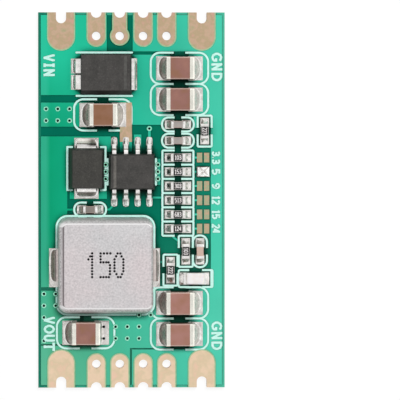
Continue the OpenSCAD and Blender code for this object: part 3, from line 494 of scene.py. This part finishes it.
dress(BOARD, "circuit_board")
dress(MASK, "top_copper_areas", "via_barrels")
dress(GOLD, "bare_supply_strip", "castellated_power_pads", "castellated_signal_pads")
dress(JUMPER_GOLD, "jumper_pads")
dress(SOLDER, "component_lands", "jumper_solder_bridge", "solder_joints")
dress(INK, "ink_outlines")
dress(MOULD, "controller_body", "input_diode_body")
dress(MOULD_DARK, "box_diode_body")
dress(LEG, "controller_legs", "controller_heat_pad", "input_diode_anode_legs",
      "input_diode_cathode_tab", "box_diode_legs", "resistor_ends", "indicator_ends",
      "small_capacitor_ends")
dress(TERMINAL, "inductor_terminals")
dress(GLAZE, "resistor_glazes")
dress(LAMP, "indicator_base")
dress(LENS, "indicator_lens")
for part in RESISTORS:
    dress(ALUMINA, part + "_substrate")
for cap, ceramic in zip(BIG_CAPS + SMALL_CAPS,
                        (CERAMIC, CERAMIC, WARM_CERAMIC, PINK_CERAMIC, PINK_CERAMIC, CERAMIC,
                         PALE_CERAMIC, PALE_CERAMIC, ROSE_CERAMIC, GREY_CERAMIC)):
    dress(ceramic, cap + "_ceramic")
for cap in BIG_CAPS:
    dress(TIN, cap + "_ends")


# ---- mesh helpers ----

SAME = 1e-9  # ends of a stroke this close make it a closed one


def new_object(name, data):
    obj = bpy.data.objects.new(name, data)
    bpy.context.scene.collection.objects.link(obj)
    return obj


def piece(name, bm, material, smooth=True, split=None):
    """Makes a mesh object from bm, in the row frame, and lets it ride on the part. Edges that
    turn by more than `split` degrees stay sharp."""
    bmesh.ops.recalc_face_normals(bm, faces=bm.faces)
    data = bpy.data.meshes.new(name)
    bm.to_mesh(data)
    bm.free()
    for polygon in data.polygons:
        polygon.use_smooth = smooth
    data.materials.append(material)
    obj = new_object(name, data)
    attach(obj, "root")
    if split:
        obj.modifiers.new("edges", "EDGE_SPLIT").split_angle = math.radians(split)
    return obj


def loft(bm, rings, capped=True):
    """Skins a list of closed rings, each a list of points of one length."""
    rows = [[bm.verts.new(p) for p in ring] for ring in rings]
    n = len(rows[0])
    for low, high in zip(rows, rows[1:]):
        for i in range(n):
            bm.faces.new((low[i], low[(i + 1) % n], high[(i + 1) % n], high[i]))
    if capped:
        bm.faces.new(rows[0][::-1])
        bm.faces.new(rows[-1])


def grid(bm, rows):
    """Skins a rectangular grid of points."""
    made = [[bm.verts.new(p) for p in row] for row in rows]
    for a, b in zip(made, made[1:]):
        for i in range(len(a) - 1):
            bm.faces.new((a[i], a[i + 1], b[i + 1], b[i]))
    return made


def closed_grid(bm, rows):
    """A grid, closed at its two ends and underneath."""
    made = grid(bm, rows)
    for row in (made[0], made[-1]):
        bm.faces.new(row)
    bm.faces.new([row[0] for row in made] + [row[-1] for row in reversed(made)])


def disc(bm, x, y, z, profile, count=12, capped=True):
    """A low round shape. profile gives each ring's radius and height above z, in mm."""
    angles = [math.radians(360 / count * i) for i in range(count)]
    loft(bm, [[Vector((x + r * MM * math.cos(a), y + r * MM * math.sin(a), z + lift * MM))
               for a in angles] for r, lift in profile], capped)


def round_ring(low, high, insets, r, z, n=5):
    """The outline of a box at height z, moved in by one inset or by those for its left, right,
    front and back. Its corners have radius r and n steps. Insets and r are in mm."""
    left, right, front, back = insets if isinstance(insets, tuple) else (insets,) * 4
    r *= MM
    x0, x1 = low.x + left * MM + r, high.x - right * MM - r
    y0, y1 = low.y + front * MM + r, high.y - back * MM - r
    points = []
    for k, (x, y) in enumerate(((x1, y1), (x0, y1), (x0, y0), (x1, y0))):
        for i in range(n + 1):
            a = math.radians(90 * k + 90 * i / n)
            points.append(Vector((x + r * math.cos(a), y + r * math.sin(a), z)))
    return points


def level(point, z):
    return Vector((point.x, point.y, z))


def ribbon(bm, points, width, z0, z1, place=level):
    """A raised stroke along points, with mitred joints. place moves a point to a height."""
    closed = (points[0] - points[-1]).length < SAME and len(points) > 3
    if closed:
        points = points[:-1]
    n = len(points)
    left, right = [], []
    for i, p in enumerate(points):
        before = points[i - 1] if i or closed else None
        after = points[(i + 1) % n] if i < n - 1 or closed else None
        a = (p - before).normalized() if before is not None else (after - p).normalized()
        b = (after - p).normalized() if after is not None else a
        na, nb = Vector((-a.y, a.x, 0)), Vector((-b.y, b.x, 0))
        mitre = (na + nb) / max(1 + na.dot(nb), 0.35)
        left.append(p + mitre * width / 2)
        right.append(p - mitre * width / 2)
    rows = [[bm.verts.new(place(q, z)) for q in side]
            for side, z in ((left, z0), (left, z1), (right, z1), (right, z0))]
    for i in range(n if closed else n - 1):
        j = (i + 1) % n
        for a, b in zip(rows, rows[1:] + rows[:1]):
            bm.faces.new((a[i], a[j], b[j], b[i]))
    if not closed:
        bm.faces.new([row[0] for row in rows])
        bm.faces.new([row[-1] for row in rows][::-1])


# ---- moulded bodies ----

BLOCK_CORNER = 1.05  # radius of the inductor's upright corners
SHOULDER_DROP = 0.78  # where its shoulder begins, below its top
# height below the top, and how far the side has come in across X and Y
SHOULDER = ((SHOULDER_DROP, 0.10, 0.24), (0.62, 0.115, 0.27), (0.45, 0.15, 0.33),
            (0.32, 0.20, 0.40), (0.22, 0.26, 0.46), (0.12, 0.34, 0.53), (0.05, 0.40, 0.58),
            (0.014, 0.46, 0.63), (0.0, 0.54, 0.72))


def inductor():
    """The pressed block with its draft, its rolled shoulder and its soft corners."""
    low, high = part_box("inductor_body")
    foot = 0.04
    rings = [round_ring(low, high, foot, BLOCK_CORNER, low.z, 10),
             round_ring(low, high, 0, BLOCK_CORNER, low.z + foot * MM, 10)]
    for k in range(1, 6):
        dx, dy = 0.1 * k / 6, 0.24 * k / 6
        z = low.z + (high.z - low.z - SHOULDER_DROP * MM) * k / 6
        rings.append(round_ring(low, high, (dx, dx, dy, dy), BLOCK_CORNER, z, 10))
    for drop, dx, dy in SHOULDER:
        r = max(BLOCK_CORNER - 0.9 * max(dx, dy), 0.3)
        # the shoulder is wider at the left
        insets = (1.25 * dx, 0.75 * dx, dy, dy)
        rings.append(round_ring(low, high, insets, r, high.z - drop * MM, 10))
    bm = bmesh.new()
    loft(bm, rings)
    obj = piece("inductor_block", bm, POWDER, split=50)
    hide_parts("inductor_body")


def moulded(node, material, *insets):
    """A moulded body: full size at its parting line, drawn in towards its top by four insets."""
    low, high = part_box(node)
    bm = bmesh.new()
    # height as a share of the whole, share of the insets, corner radius
    loft(bm, [round_ring(low, high, tuple(inset * share for inset in insets), r,
                         low.z + (high.z - low.z) * height, 3)
              for height, share, r in ((0.0, 0.12, 0.05), (0.45, 0.0, 0.05), (0.47, 0.02, 0.05),
                                       (0.93, 0.88, 0.08), (0.98, 0.97, 0.08), (1.0, 1.06, 0.08))])
    obj = piece(node.replace("_body", "_moulding"), bm, material, split=30)
    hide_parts(node)


def lamp_lens():
    """The lamp's cast cover, which laps over its terminals and is crowned a little."""
    low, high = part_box("indicator_lens")
    base = mid("indicator_base")
    half = (high.y - low.y) / 2
    low = Vector((base.x - 0.90 * MM, base.y - half, low.z))
    high = Vector((base.x + 1.16 * MM, base.y + half, high.z))
    bm = bmesh.new()
    loft(bm, [round_ring(low, high, inset, max(0.12 - inset * 0.2, 0.04), high.z - drop * MM)
              for inset, drop in ((0.0, 0.42), (0.01, 0.30), (0.03, 0.14), (0.06, 0.07),
                                  (0.11, 0.03), (0.2, 0.008), (0.36, 0.0))])
    obj = piece("lamp_lens", bm, LENS)
    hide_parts("indicator_lens")


# ---- solder ----

FILM = 0.105 * MM  # height above the board at which a fillet meets the film on its land
# how far the bead along a fillet's foot reaches, and its height, in mm
FOOT_BEAD = ((0.05, 0.088), (0.10, 0.072), (0.15, 0.060), (0.19, 0.052), (0.2, 0.0))


def joint(bm, wall, out, half, rise, land, share=0.62, wrap=1.0, square=3.0):
    """A hollow fillet from a metal wall at `wall`, facing `out`, down to its land.

    half is half the wall's width and rise the height at its middle. The foot is an arc
    that starts at the wall's two corners, and a small rolled bead runs along it. It takes up
    `share` of the land, is `wrap` as wide as the wall, and is the squarer the larger `square`."""
    low, high = land
    side = Vector((-out.y, out.x, 0))
    end = high if out.x + out.y > 0 else low
    reach = (end - wall).dot(out)
    across, along = 20, 12
    rows = []
    for i in range(across + 1):
        u = 2 * i / across - 1
        arc = (1 - abs(u) ** square) ** 0.75
        foot = reach * share * arc + 0.02 * MM
        top = rise * (1 - 0.5 * abs(u) ** 3)
        row = [(0, half * u, 0)]
        for j in range(along + 1):
            v = j / along
            spread = half * (1 + (wrap - 1) * v) * u
            row.append((foot * v, spread, top * (1 - v) ** 1.35 + FILM))
        for far, z in FOOT_BEAD:
            tail = min(far * MM, reach * far * 1.6) * max(arc, 0.35)
            row.append((foot + tail, spread * (1 + 0.3 * far), z * MM))
        rows.append([level(wall, FACE_Z) + out * x + side * y + UP * z for x, y, z in row])
    closed_grid(bm, rows)


def puddle(bm, land):
    """The thin crowned film of solder over a whole land."""
    low, high = land
    margin, crown = 0.03, 0.045
    r = (min(high.x - low.x, high.y - low.y) / 2 / MM - margin) * 0.35
    loft(bm, [round_ring(low, high, margin + step, max(r - step, 0.05), FACE_Z + crown * lift * MM)
              for step, lift in ((0, 0.0), (0.015, 0.55), (0.05, 0.85), (0.12, 1.0))])


def land_at(point):
    """The land that lies under a point, or nearest to it."""
    def gap(box):
        low, high = box
        return math.hypot(max(low.x - point.x, 0, point.x - high.x),
                          max(low.y - point.y, 0, point.y - high.y))
    return min(LANDS, key=gap)


def end_joint(bm, box, body, rise, trim=0.02, **shape):
    """A joint on the outer face of one metal end of a body. Gives the face's middle at the
    board, its direction and half its width. trim leaves a little of the width free."""
    size = box[1] - box[0]
    away = centre(box) - mid(body)
    if abs(away.x) > abs(away.y):
        out = Vector((math.copysign(1, away.x), 0, 0))
    else:
        out = Vector((0, math.copysign(1, away.y), 0))
    half = abs(size.dot(Vector((out.y, out.x, 0)))) / 2
    wall = centre(box) + out * abs(size.dot(out)) / 2
    joint(bm, wall, out, half - trim * MM, rise, land_at(wall + out * 0.15 * MM), **shape)
    return level(wall, FACE_Z), out, half


def rim(bm, wall, out, half):
    """The rolled edge of solder that runs round the outside of a wide foot, as an arch."""
    half += 0.08 * MM
    back, foot, width, height, lowest = 0.5 * MM, 0.28 * MM, 0.18 * MM, 0.022 * MM, 0.04 * MM
    path = [(-half, -back), (-half, -back / 2)]
    for i in range(17):
        a = math.pi * (1 - i / 16)
        x = math.copysign(abs(math.cos(a)) ** 0.45, math.cos(a))
        path.append((half * x, foot * math.sin(a) ** 0.6))
    path += [(half, -back / 2), (half, -back)]
    points = [Vector((x, y, 0)) for x, y in path]
    # the rim's section, as shares of its width and height
    section = ((-0.5, -1.0), (-0.5, 0.0), (-0.25, 0.6), (0.0, 1.0), (0.25, 0.6), (0.5, 0.0),
               (0.5, -1.0))
    side = Vector((-out.y, out.x, 0))
    rows = []
    for i, p in enumerate(points):
        t = (points[min(i + 1, len(points) - 1)] - points[max(i - 1, 0)]).normalized()
        normal = Vector((-t.y, t.x, 0))
        row = [(p + normal * width * k, lowest + lift * height) for k, lift in section]
        rows.append([wall + side * q.x + out * q.y + UP * z for q, z in row])
    closed_grid(bm, rows)


def solder():
    """A film on each land, and a fillet at each metal end."""
    bm, rims = bmesh.new(), bmesh.new()

    def join(boxes, body, rise=0.0, climb=0.0, **shape):
        """Joints as high as rise, in mm, or as a share of the end's own height."""
        return [end_joint(bm, box, body, rise * MM + climb * (box[1].z - box[0].z), **shape)
                for box in boxes]

    for land in LANDS:
        puddle(bm, land)
    for cap in BIG_CAPS:
        body = cap + "_ceramic"
        for box in islands(cap + "_ends"):
            # the last one's right land is open around its vias
            open_land = cap == BIG_CAPS[-1] and box[0].x > mid(body).x
            join([box], body, climb=0.74, trim=0.05, share=0.2 if open_land else 0.62)
    own_reach = 1.2 * MM  # from a chip's middle to the middle of its ends, at most
    for ends, bodies, climb in (
            ("small_capacitor_ends", [cap + "_ceramic" for cap in SMALL_CAPS], 0.74),
            ("resistor_ends", [part + "_substrate" for part in RESISTORS], 0.8)):
        boxes = islands(ends)
        for body in bodies:
            join(near(boxes, mid(body), own_reach), body, climb=climb)
    join(islands("indicator_ends"), "indicator_base", climb=0.2)
    join(islands("controller_legs"), "controller_body", 0.17, trim=-0.05, share=0.7, square=2.2)
    join(islands("input_diode_anode_legs"), "input_diode_body", 0.26, share=0.5, square=4.0)
    join(islands("input_diode_cathode_tab"), "input_diode_body", 0.26, share=0.6, square=8.0)
    for place in join(islands("box_diode_legs"), "box_diode_body", 0.40, share=0.44, wrap=0.96,
                      square=6.0):
        rim(rims, *place)
    join(islands("inductor_terminals"), "inductor_body", 0.8, share=0.6, square=5.0)
    obj = piece("solder_fillets", bm, SOLDER, split=55)
    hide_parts("solder_joints")
    piece("rolled_rims", rims, LEG)


def bridge():
    """The domed bead that closes one jumper: two crossing furrows and a slight wave."""
    low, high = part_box("jumper_solder_bridge")
    c = mid("jumper_solder_bridge")
    spread, count = 1.06, 40
    hx, hy = (high.x - low.x) / 2 * spread, (high.y - low.y) / 2 * spread
    height = 0.85 * (high.z - FACE_Z)

    def lift(u, v):
        dome = max(1 - u ** 6, 0) ** 0.5 * max(1 - v ** 6, 0) ** 0.5
        furrow = min(abs(u + 0.9 * v - 0.1), abs(u - 0.8 * v + 0.05))
        return dome * (1 - 0.5 * math.exp(-(furrow / 0.13) ** 2) + 0.12 * math.sin(5 * u + 2 * v))

    steps = [2 * i / count - 1 for i in range(count + 1)]
    bm = bmesh.new()
    made = grid(bm, [[Vector((c.x + hx * u, c.y + hy * v, FACE_Z + height * lift(u, v)))
                      for v in steps] for u in steps])
    bm.faces.new([row[0] for row in made] + made[-1][1:] + [row[-1] for row in made[-2::-1]]
                 + made[0][-2:0:-1])
    obj = piece("jumper_bead", bm, LEG)
    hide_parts("jumper_solder_bridge")


# ---- board details ----

def via_plugs():
    """Each via is closed by a near-black dimple of mask a little below its rim, or by a higher one
    where it stands in a land. Their near-black colour is painted shade standing in for the open
    hole."""
    bm, rims = bmesh.new(), bmesh.new()
    for box in islands("via_barrels"):
        c = centre(box)
        if any(low.x < c.x < high.x and low.y < c.y < high.y for low, high in LANDS):
            disc(bm, c.x, c.y, FACE_Z, ((0.14, -0.3), (0.15, 0.10), (0.12, 0.108), (0.05, 0.1)))
            continue
        disc(bm, c.x, c.y, FACE_Z, ((0.14, -0.56), (0.145, -0.08), (0.10, -0.11), (0.03, -0.14)))
        disc(rims, c.x, c.y, FACE_Z, ((0.14, -0.01), (0.15, 0.012), (0.19, 0.022), (0.25, 0.014),
                                      (0.27, -0.01)), 18, capped=False)
    piece("via_plugs", bm, PAINTED_HOLE_SHADE)
    piece("via_rims", rims, RING)


def outlines(node):
    """Closed outlines of a node's faces that lie on the component side, outer ones only."""
    bm = merged(node)
    top = dict.fromkeys(f for f in bm.faces if f.normal.z > 0.9
                        and abs(f.calc_center_median().z - FACE_Z) < 0.001 * MM)
    border = {}
    for f in top:
        for loop in f.loops:
            if not any(g in top for g in loop.edge.link_faces if g is not f):
                border[loop.vert] = loop.link_loop_next.vert
    rings = []
    while border:
        start, v = next(iter(border.items()))
        ring = [start.co.copy()]
        del border[start]
        while v is not start and v in border:
            ring.append(v.co.copy())
            v = border.pop(v)
        rings.append(ring)
    bm.free()

    def area(ring):
        return sum(a.x * b.y - b.x * a.y for a, b in zip(ring, ring[1:] + ring[:1])) / 2
    return [ring for ring in rings if area(ring) > 0]


def offset(path, distance):
    """Moves a counter-clockwise path outwards."""
    made = []
    for i, p in enumerate(path):
        a = path[max(i - 1, 0)]
        b = path[min(i + 1, len(path) - 1)]
        t = Vector((b.x - a.x, b.y - a.y, 0)).normalized()
        made.append(p + Vector((t.y, -t.x, 0)) * distance)
    return made


def mask_lips():
    """The mask's soft pale edge, where it stops short of each bare pad."""
    edge_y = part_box("circuit_board")[1].y - 0.02 * MM
    overlap, width, height = 0.03 * MM, 0.13 * MM, 0.018 * MM
    bm = bmesh.new()
    for node in ("castellated_power_pads", "castellated_signal_pads"):
        for ring in outlines(node):
            inner = [abs(p.y) < edge_y for p in ring]
            if all(inner):
                ring = ring + ring[:1]
            else:
                # the longest run inside the board, which leaves out the half hole at its edge
                runs = []
                for start in range(len(ring)):
                    if inner[start] and not inner[start - 1]:
                        turned = ring[start:] + ring[:start]
                        count = next(i for i, p in enumerate(turned) if abs(p.y) >= edge_y)
                        runs.append([turned[-1]] + turned[:count + 1])
                ring = max(runs, key=lambda run: sum((b - a).length for a, b in zip(run, run[1:])))
            ribbon(bm, offset(ring, -overlap), width, SUNK_Z, FACE_Z + height)
    piece("mask_lips", bm, LIP, smooth=False)


def moats():
    """The narrow ring of uncovered laminate that the mask leaves round each small land, its dark
    colour partly painted shade in the gap.
    """
    small, width, height = 1.5 * MM, 0.12 * MM, 0.003 * MM
    bm = bmesh.new()
    for low, high in LANDS:
        if max(high.x - low.x, high.y - low.y) < small:
            ring = round_ring(low, high, -0.04, 0.08, FACE_Z, 3)
            ribbon(bm, ring + ring[:1], width, SUNK_Z, FACE_Z + height)
    piece("land_moats", bm, MOAT_AND_SHADE, smooth=False)


# Width and strokes of each character, one unit high
GLYPHS = {
    "0": (0.5, [[(0.25, 0), (0.08, 0.12), (0, 0.35), (0, 0.65), (0.08, 0.88), (0.25, 1),
          (0.42, 0.88), (0.5, 0.65), (0.5, 0.35), (0.42, 0.12), (0.25, 0)]]),
    "1": (0.4, [[(0.05, 0.78), (0.22, 1), (0.22, 0)], [(0.05, 0), (0.4, 0)]]),
    "2": (0.5, [[(0.02, 0.78), (0.1, 0.95), (0.27, 1), (0.44, 0.9), (0.48, 0.7), (0.36, 0.48),
          (0, 0), (0.5, 0)]]),
    "3": (0.5, [[(0.02, 0.85), (0.12, 0.97), (0.3, 1), (0.46, 0.86), (0.44, 0.64), (0.2, 0.54),
          (0.46, 0.42), (0.5, 0.2), (0.34, 0.02), (0.14, 0.02), (0, 0.16)]]),
    "4": (0.5, [[(0.38, 0), (0.38, 1), (0, 0.3), (0.5, 0.3)]]),
    "5": (0.5, [[(0.46, 1), (0.06, 1), (0.02, 0.54), (0.26, 0.62), (0.46, 0.5), (0.5, 0.26),
          (0.36, 0.04), (0.14, 0), (0, 0.12)]]),
    "6": (0.5, [[(0.44, 0.92), (0.26, 1), (0.08, 0.82), (0, 0.4), (0.06, 0.12), (0.26, 0),
          (0.46, 0.12), (0.48, 0.36), (0.3, 0.54), (0.08, 0.42)]]),
    "8": (0.5, [[(0.25, 0.54), (0.44, 0.66), (0.44, 0.88), (0.25, 1), (0.06, 0.88), (0.06, 0.66),
          (0.25, 0.54)], [(0.25, 0.54), (0.46, 0.38), (0.46, 0.12), (0.25, 0), (0.04, 0.12),
          (0.04, 0.38), (0.25, 0.54)]]),
    "9": (0.5, [[(0.06, 0.08), (0.24, 0), (0.42, 0.18), (0.5, 0.6), (0.44, 0.88), (0.24, 1),
          (0.04, 0.88), (0.02, 0.64), (0.2, 0.46), (0.42, 0.58)]]),
    ".": (0.12, [[(0.0, 0.04), (0.1, 0.04)]]),
    "D": (0.72, [[(0, 0), (0.4, 0), (0.62, 0.14), (0.72, 0.4), (0.72, 0.6), (0.62, 0.86),
          (0.4, 1), (0, 1)], [(0.1, 0), (0.1, 1)]]),
    "G": (0.72, [[(0.68, 0.8), (0.56, 0.95), (0.36, 1), (0.14, 0.9), (0, 0.62), (0, 0.38),
          (0.14, 0.1), (0.36, 0), (0.58, 0.06), (0.68, 0.18), (0.68, 0.42), (0.44, 0.42)]]),
    "I": (0.4, [[(0.2, 0), (0.2, 1)], [(0, 0), (0.4, 0)], [(0, 1), (0.4, 1)]]),
    "N": (0.72, [[(0.1, 0), (0.1, 1), (0.6, 0), (0.6, 1)], [(0, 0), (0.24, 0)],
          [(0.48, 1), (0.72, 1)], [(0, 1), (0.14, 1)]]),
    "O": (0.72, [[(0.36, 0), (0.14, 0.1), (0, 0.38), (0, 0.62), (0.14, 0.9), (0.36, 1),
          (0.58, 0.9), (0.72, 0.62), (0.72, 0.38), (0.58, 0.1), (0.36, 0)]]),
    "T": (0.66, [[(0.33, 0), (0.33, 1)], [(0, 0.84), (0, 1), (0.66, 1), (0.66, 0.84)],
          [(0.18, 0), (0.48, 0)]]),
    "U": (0.72, [[(0.1, 1), (0.1, 0.3), (0.2, 0.06), (0.36, 0), (0.52, 0.06), (0.62, 0.3),
          (0.62, 1)], [(0, 1), (0.22, 1)], [(0.5, 1), (0.72, 1)]]),
    "V": (0.72, [[(0.08, 1), (0.36, 0), (0.64, 1)], [(0, 1), (0.2, 1)], [(0.52, 1), (0.72, 1)]]),
}


def unbent(points, width):
    """Splits a stroke where it turns sharply, and lets both parts run on past the corner."""
    sharp, overlap = 0.35, 0.4 * width
    parts, part = [], points[:2]
    for p in points[2:]:
        before, after = (part[-1] - part[-2]).normalized(), (p - part[-1]).normalized()
        if before.dot(after) < sharp:
            corner = part[-1]
            parts.append(part[:-1] + [corner + before * overlap])
            part = [corner - after * overlap]
        part.append(p)
    return parts + [part]


def letter(bm, text, start, height, length, across, along, width, z0, z1):
    """Letters text from start, so that it runs for length along `along`, with its tops towards
    `across`. Each stroke ends a hair higher than the last, so that no two faces coincide."""
    gap = 0.2 if height < 0.9 * MM else 0.24
    stretch = length / (sum(GLYPHS[c][0] for c in text) + gap * (len(text) - 1))
    pen = 0.0
    for c in text:
        wide, strokes = GLYPHS[c]
        for stroke in strokes:
            points = [Vector((x * stretch + pen, y * height, 0)) for x, y in stroke]
            for part in unbent(points, width):
                z1 += 0.0005 * MM
                ribbon(bm, part, width, z0, z1,
                       lambda q, z: start + along * q.x + across * q.y + UP * (z - start.z))
        pen += (wide + gap) * stretch


def legends():
    """The terminals' names beside their pads, and the voltage beside each jumper."""
    bm = bmesh.new()
    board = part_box("circuit_board")[1]
    top = FACE_Z + 0.02 * MM
    word_stroke, volts_stroke, volts_height = 0.26 * MM, 0.21 * MM, 0.72 * MM
    left_x, right_x, volts_x = -board.x + 0.70 * MM, board.x - 1.32 * MM, board.x - 1.3 * MM
    for text, x, y, length, height in (
            ("VIN", left_x, 15.76, 2.34, 0.98), ("GND", right_x, 15.84, 2.84, 0.94),
            ("VOUT", left_x, -12.66, 3.56, 0.98), ("GND", right_x, -13.3, 2.84, 0.94)):
        letter(bm, text, Vector((x, y * MM, FACE_Z)), height * MM, length * MM, RIGHT, FRONT,
               word_stroke, SUNK_Z, top)
    rows = sorted({round(mid(part + "_substrate").y, 6) for part in JUMPED}, reverse=True)
    for text, y in zip(("3.3", "5", "9", "12", "15", "24"), rows):
        length = {1: 0.48, 2: 0.85, 3: 1.28}[len(text)] * MM
        letter(bm, text, Vector((volts_x, y + length / 2, FACE_Z)), volts_height, length,
               RIGHT, FRONT, volts_stroke, SUNK_Z, top)
    piece("board_legends", bm, INK, smooth=False)


# ---- marks on the parts ----

# Columns and rows of the dots of each digit, a row apart downwards
DIGIT_DOTS = {
    "1": [(0.2, r) for r in range(9)] + [(0.0, 1), (-0.2, 2)],
    "5": [(x, 0) for x in (0, 1.05, 0.35, 0.7)] + [(0.0, 1), (0.0, 2)]
         + [(x, 3) for x in (0, 0.3, 0.6, 0.85)] + [(1.0, r) for r in (4, 5, 6, 7)]
         + [(x, 8) for x in (0, 0.3, 0.6, 0.88)],
    "0": [(0.33, 0), (0.63, 0), (0.18, 1), (0.76, 1), (0.21, 7), (0.81, 7), (0.38, 8), (0.66, 8)]
         + [(x, r) for x in (0.0, 0.95) for r in range(2, 7)],
}
DOT = ((0.14, -0.01), (0.1288, 0.008), (0.084, 0.014))  # its radius and height
ROW_PITCH = 0.318


def inductor_marks():
    """The value of the coil, printed in dots."""
    c, top = mid("inductor_body"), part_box("inductor_body")[1].z
    bm = bmesh.new()
    for digit, x in (("1", -1.69), ("5", -0.58), ("0", 0.91)):
        for column, row in DIGIT_DOTS[digit]:
            disc(bm, c.x + (x + column) * MM, c.y + (1.4 - ROW_PITCH * row) * MM, top, DOT)
    piece("inductor_marks", bm, MARK)


def resistor_marks():
    """Three-figure values on the glaze."""
    bm = bmesh.new()
    glazes = islands("resistor_glazes")
    texts = ("103", "153", "303", "513", "683", "124", "223", "103", "222")
    height, length, stroke = 0.44 * MM, 0.68 * MM, 0.075 * MM
    for part, text in zip(RESISTORS, texts):
        box = near(glazes, mid(part + "_substrate"), 0.4 * MM)[0]
        size, top = box[1] - box[0], box[1].z
        along, across = (FRONT, RIGHT) if size.y > size.x else (RIGHT, -FRONT)
        start = level(centre(box), top) - along * length / 2 - across * height / 2
        letter(bm, text, start, height, length, across, along, stroke,
               top - 0.005 * MM, top + 0.008 * MM)
    piece("resistor_marks", bm, DIGIT, smooth=False)


def slab(name, material, x0, x1, y0, y1, z0, z1):
    """A thin plate with round corners and a softened upper edge."""
    low, high = Vector((x0, y0, z0)), Vector((x1, y1, z1))
    r, soft = 0.02, 0.01
    bm = bmesh.new()
    loft(bm, [round_ring(low, high, 0, r, z0), round_ring(low, high, 0, r, z1 - soft * MM),
              round_ring(low, high, soft, r - soft, z1)])
    piece(name, bm, material)


def body_marks():
    """The polished bar at the controller's first leg, and the diode's cathode band."""
    low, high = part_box("controller_body")
    slab("controller_index_bar", BAR, low.x + 0.43 * MM, low.x + 0.77 * MM,
         low.y + 0.21 * MM, high.y - 0.21 * MM, high.z - 0.06 * MM, high.z - 0.004 * MM)
    low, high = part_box("input_diode_body")
    slab("cathode_band", BAND, high.x - 0.86 * MM, high.x - 0.52 * MM,
         low.y + 0.52 * MM, high.y - 0.22 * MM, high.z - 0.02 * MM, high.z + 0.008 * MM)


inductor()
moulded("input_diode_body", MOULD, 0.06, 0.14, 0.40, 0.10)
moulded("box_diode_body", MOULD_DARK, 0.34, 0.20, 0.08, 0.22)
solder()
bridge()
via_plugs()
mask_lips()
moats()
legends()
inductor_marks()
resistor_marks()
lamp_lens()
body_marks()


# ---- floor, light and camera ----

def floor_material():
    """A pale matt floor. Seen directly it shines a plain white, less where the object shades it."""
    albedo, shade, white = 0.8, 0.12, 0.9
    mat = bpy.data.materials.new("floor_white")
    mat.use_nodes = True
    n = Tree(mat.node_tree)
    n.tree.nodes.clear()
    rays = n.add("ShaderNodeLightPath").outputs
    seen = n.calc("MAXIMUM", n.calc("MAXIMUM", rays["Is Camera Ray"], rays["Is Glossy Ray"]),
                  rays["Is Transmission Ray"])
    matt = n.run("ShaderNodeBsdfDiffuse", [albedo] * 3 + [1])
    faint = n.run("ShaderNodeBsdfDiffuse", [shade] * 3 + [1])
    glow = n.run("ShaderNodeEmission", [1, 1, 1, 1], white)
    shining = n.run("ShaderNodeAddShader", faint, glow)
    n.add("ShaderNodeOutputMaterial", Surface=n.run("ShaderNodeMixShader", seen, matt, shining))
    return mat


bpy.ops.mesh.primitive_plane_add(size=6.0, location=(0, 0, -0.02 * MM))
floor = bpy.context.object
floor.name = "floor"
floor.data.materials.append(floor_material())


def world():
    """Plain light for all, white where it is seen directly, and a studio for metal to mirror."""
    studio = bpy.data.worlds.new("studio")
    bpy.context.scene.world = studio
    studio.use_nodes = True
    n = Tree(studio.node_tree)
    n.tree.nodes.clear()
    towards = n.split(n.add("ShaderNodeTexCoord").outputs["Generated"])
    # what metal sees: a grey ceiling, a bright ring around it, and lower down
    # dark towards -X, bright towards Y and fairly bright towards +X
    side = n.calc("MULTIPLY_ADD", towards["X"], 0.5, 0.5)
    low = n.ramp(side, (0.0, 0.04), (0.25, 0.12), (0.5, 0.95), (0.75, 1.0), (1.0, 1.0))
    ring = n.ramp(towards["Z"], (0.55, 0.0), (0.72, 1.0))
    ceiling = n.ramp(towards["Z"], (0.80, 1.0), (0.92, 0.86), (0.97, 0.72), (1.0, 0.68))
    mirrored = n.run("ShaderNodeBackground", n.mix(ring, low, ceiling), 1.3)
    plain = n.run("ShaderNodeBackground", [0.30, 0.30, 0.304, 1], 1.0)
    white = n.run("ShaderNodeBackground", [1, 1, 1, 1], 1.0)
    rays = n.add("ShaderNodeLightPath").outputs
    indirect = n.run("ShaderNodeMixShader", rays["Is Glossy Ray"], plain, mirrored)
    seen = n.calc("MAXIMUM", rays["Is Camera Ray"], rays["Is Transmission Ray"])
    n.add("ShaderNodeOutputWorld", Surface=n.run("ShaderNodeMixShader", seen, indirect, white))


def softbox():
    """One large soft lamp behind the board, which mirrors don't show."""
    place = Vector((0.05, 0.10, 0.5))
    data = bpy.data.lights.new("softbox", "AREA")
    data.size = 0.11
    data.energy = 1.68
    obj = new_object("softbox", data)
    obj.location = place
    obj.rotation_euler = (-place).to_track_quat("-Z", "Y").to_euler()
    obj.visible_glossy = False


def camera():
    """Looks almost straight down, with the board's long side upright in the picture."""
    distance, field, sensor = 0.45, 43.36 * MM, 36
    aim = Vector((7.425 * MM, 0, FACE_Z))
    place = Vector((-0.02 * distance, 0.015 * distance, distance))
    data = bpy.data.cameras.new("camera")
    data.sensor_width = sensor
    data.lens = sensor * (place - aim).length / field
    data.clip_start = 0.01
    data.clip_end = 10
    obj = new_object("camera", data)
    obj.location = place
    look = (aim - place).normalized()
    right = look.cross(-FRONT).normalized()
    up = right.cross(look)
    obj.rotation_euler = Matrix([[right[i], up[i], -look[i]] for i in range(3)]).to_euler()
    bpy.context.scene.camera = obj


world()
softbox()
camera()
bpy.context.scene.view_settings.view_transform = "Standard"
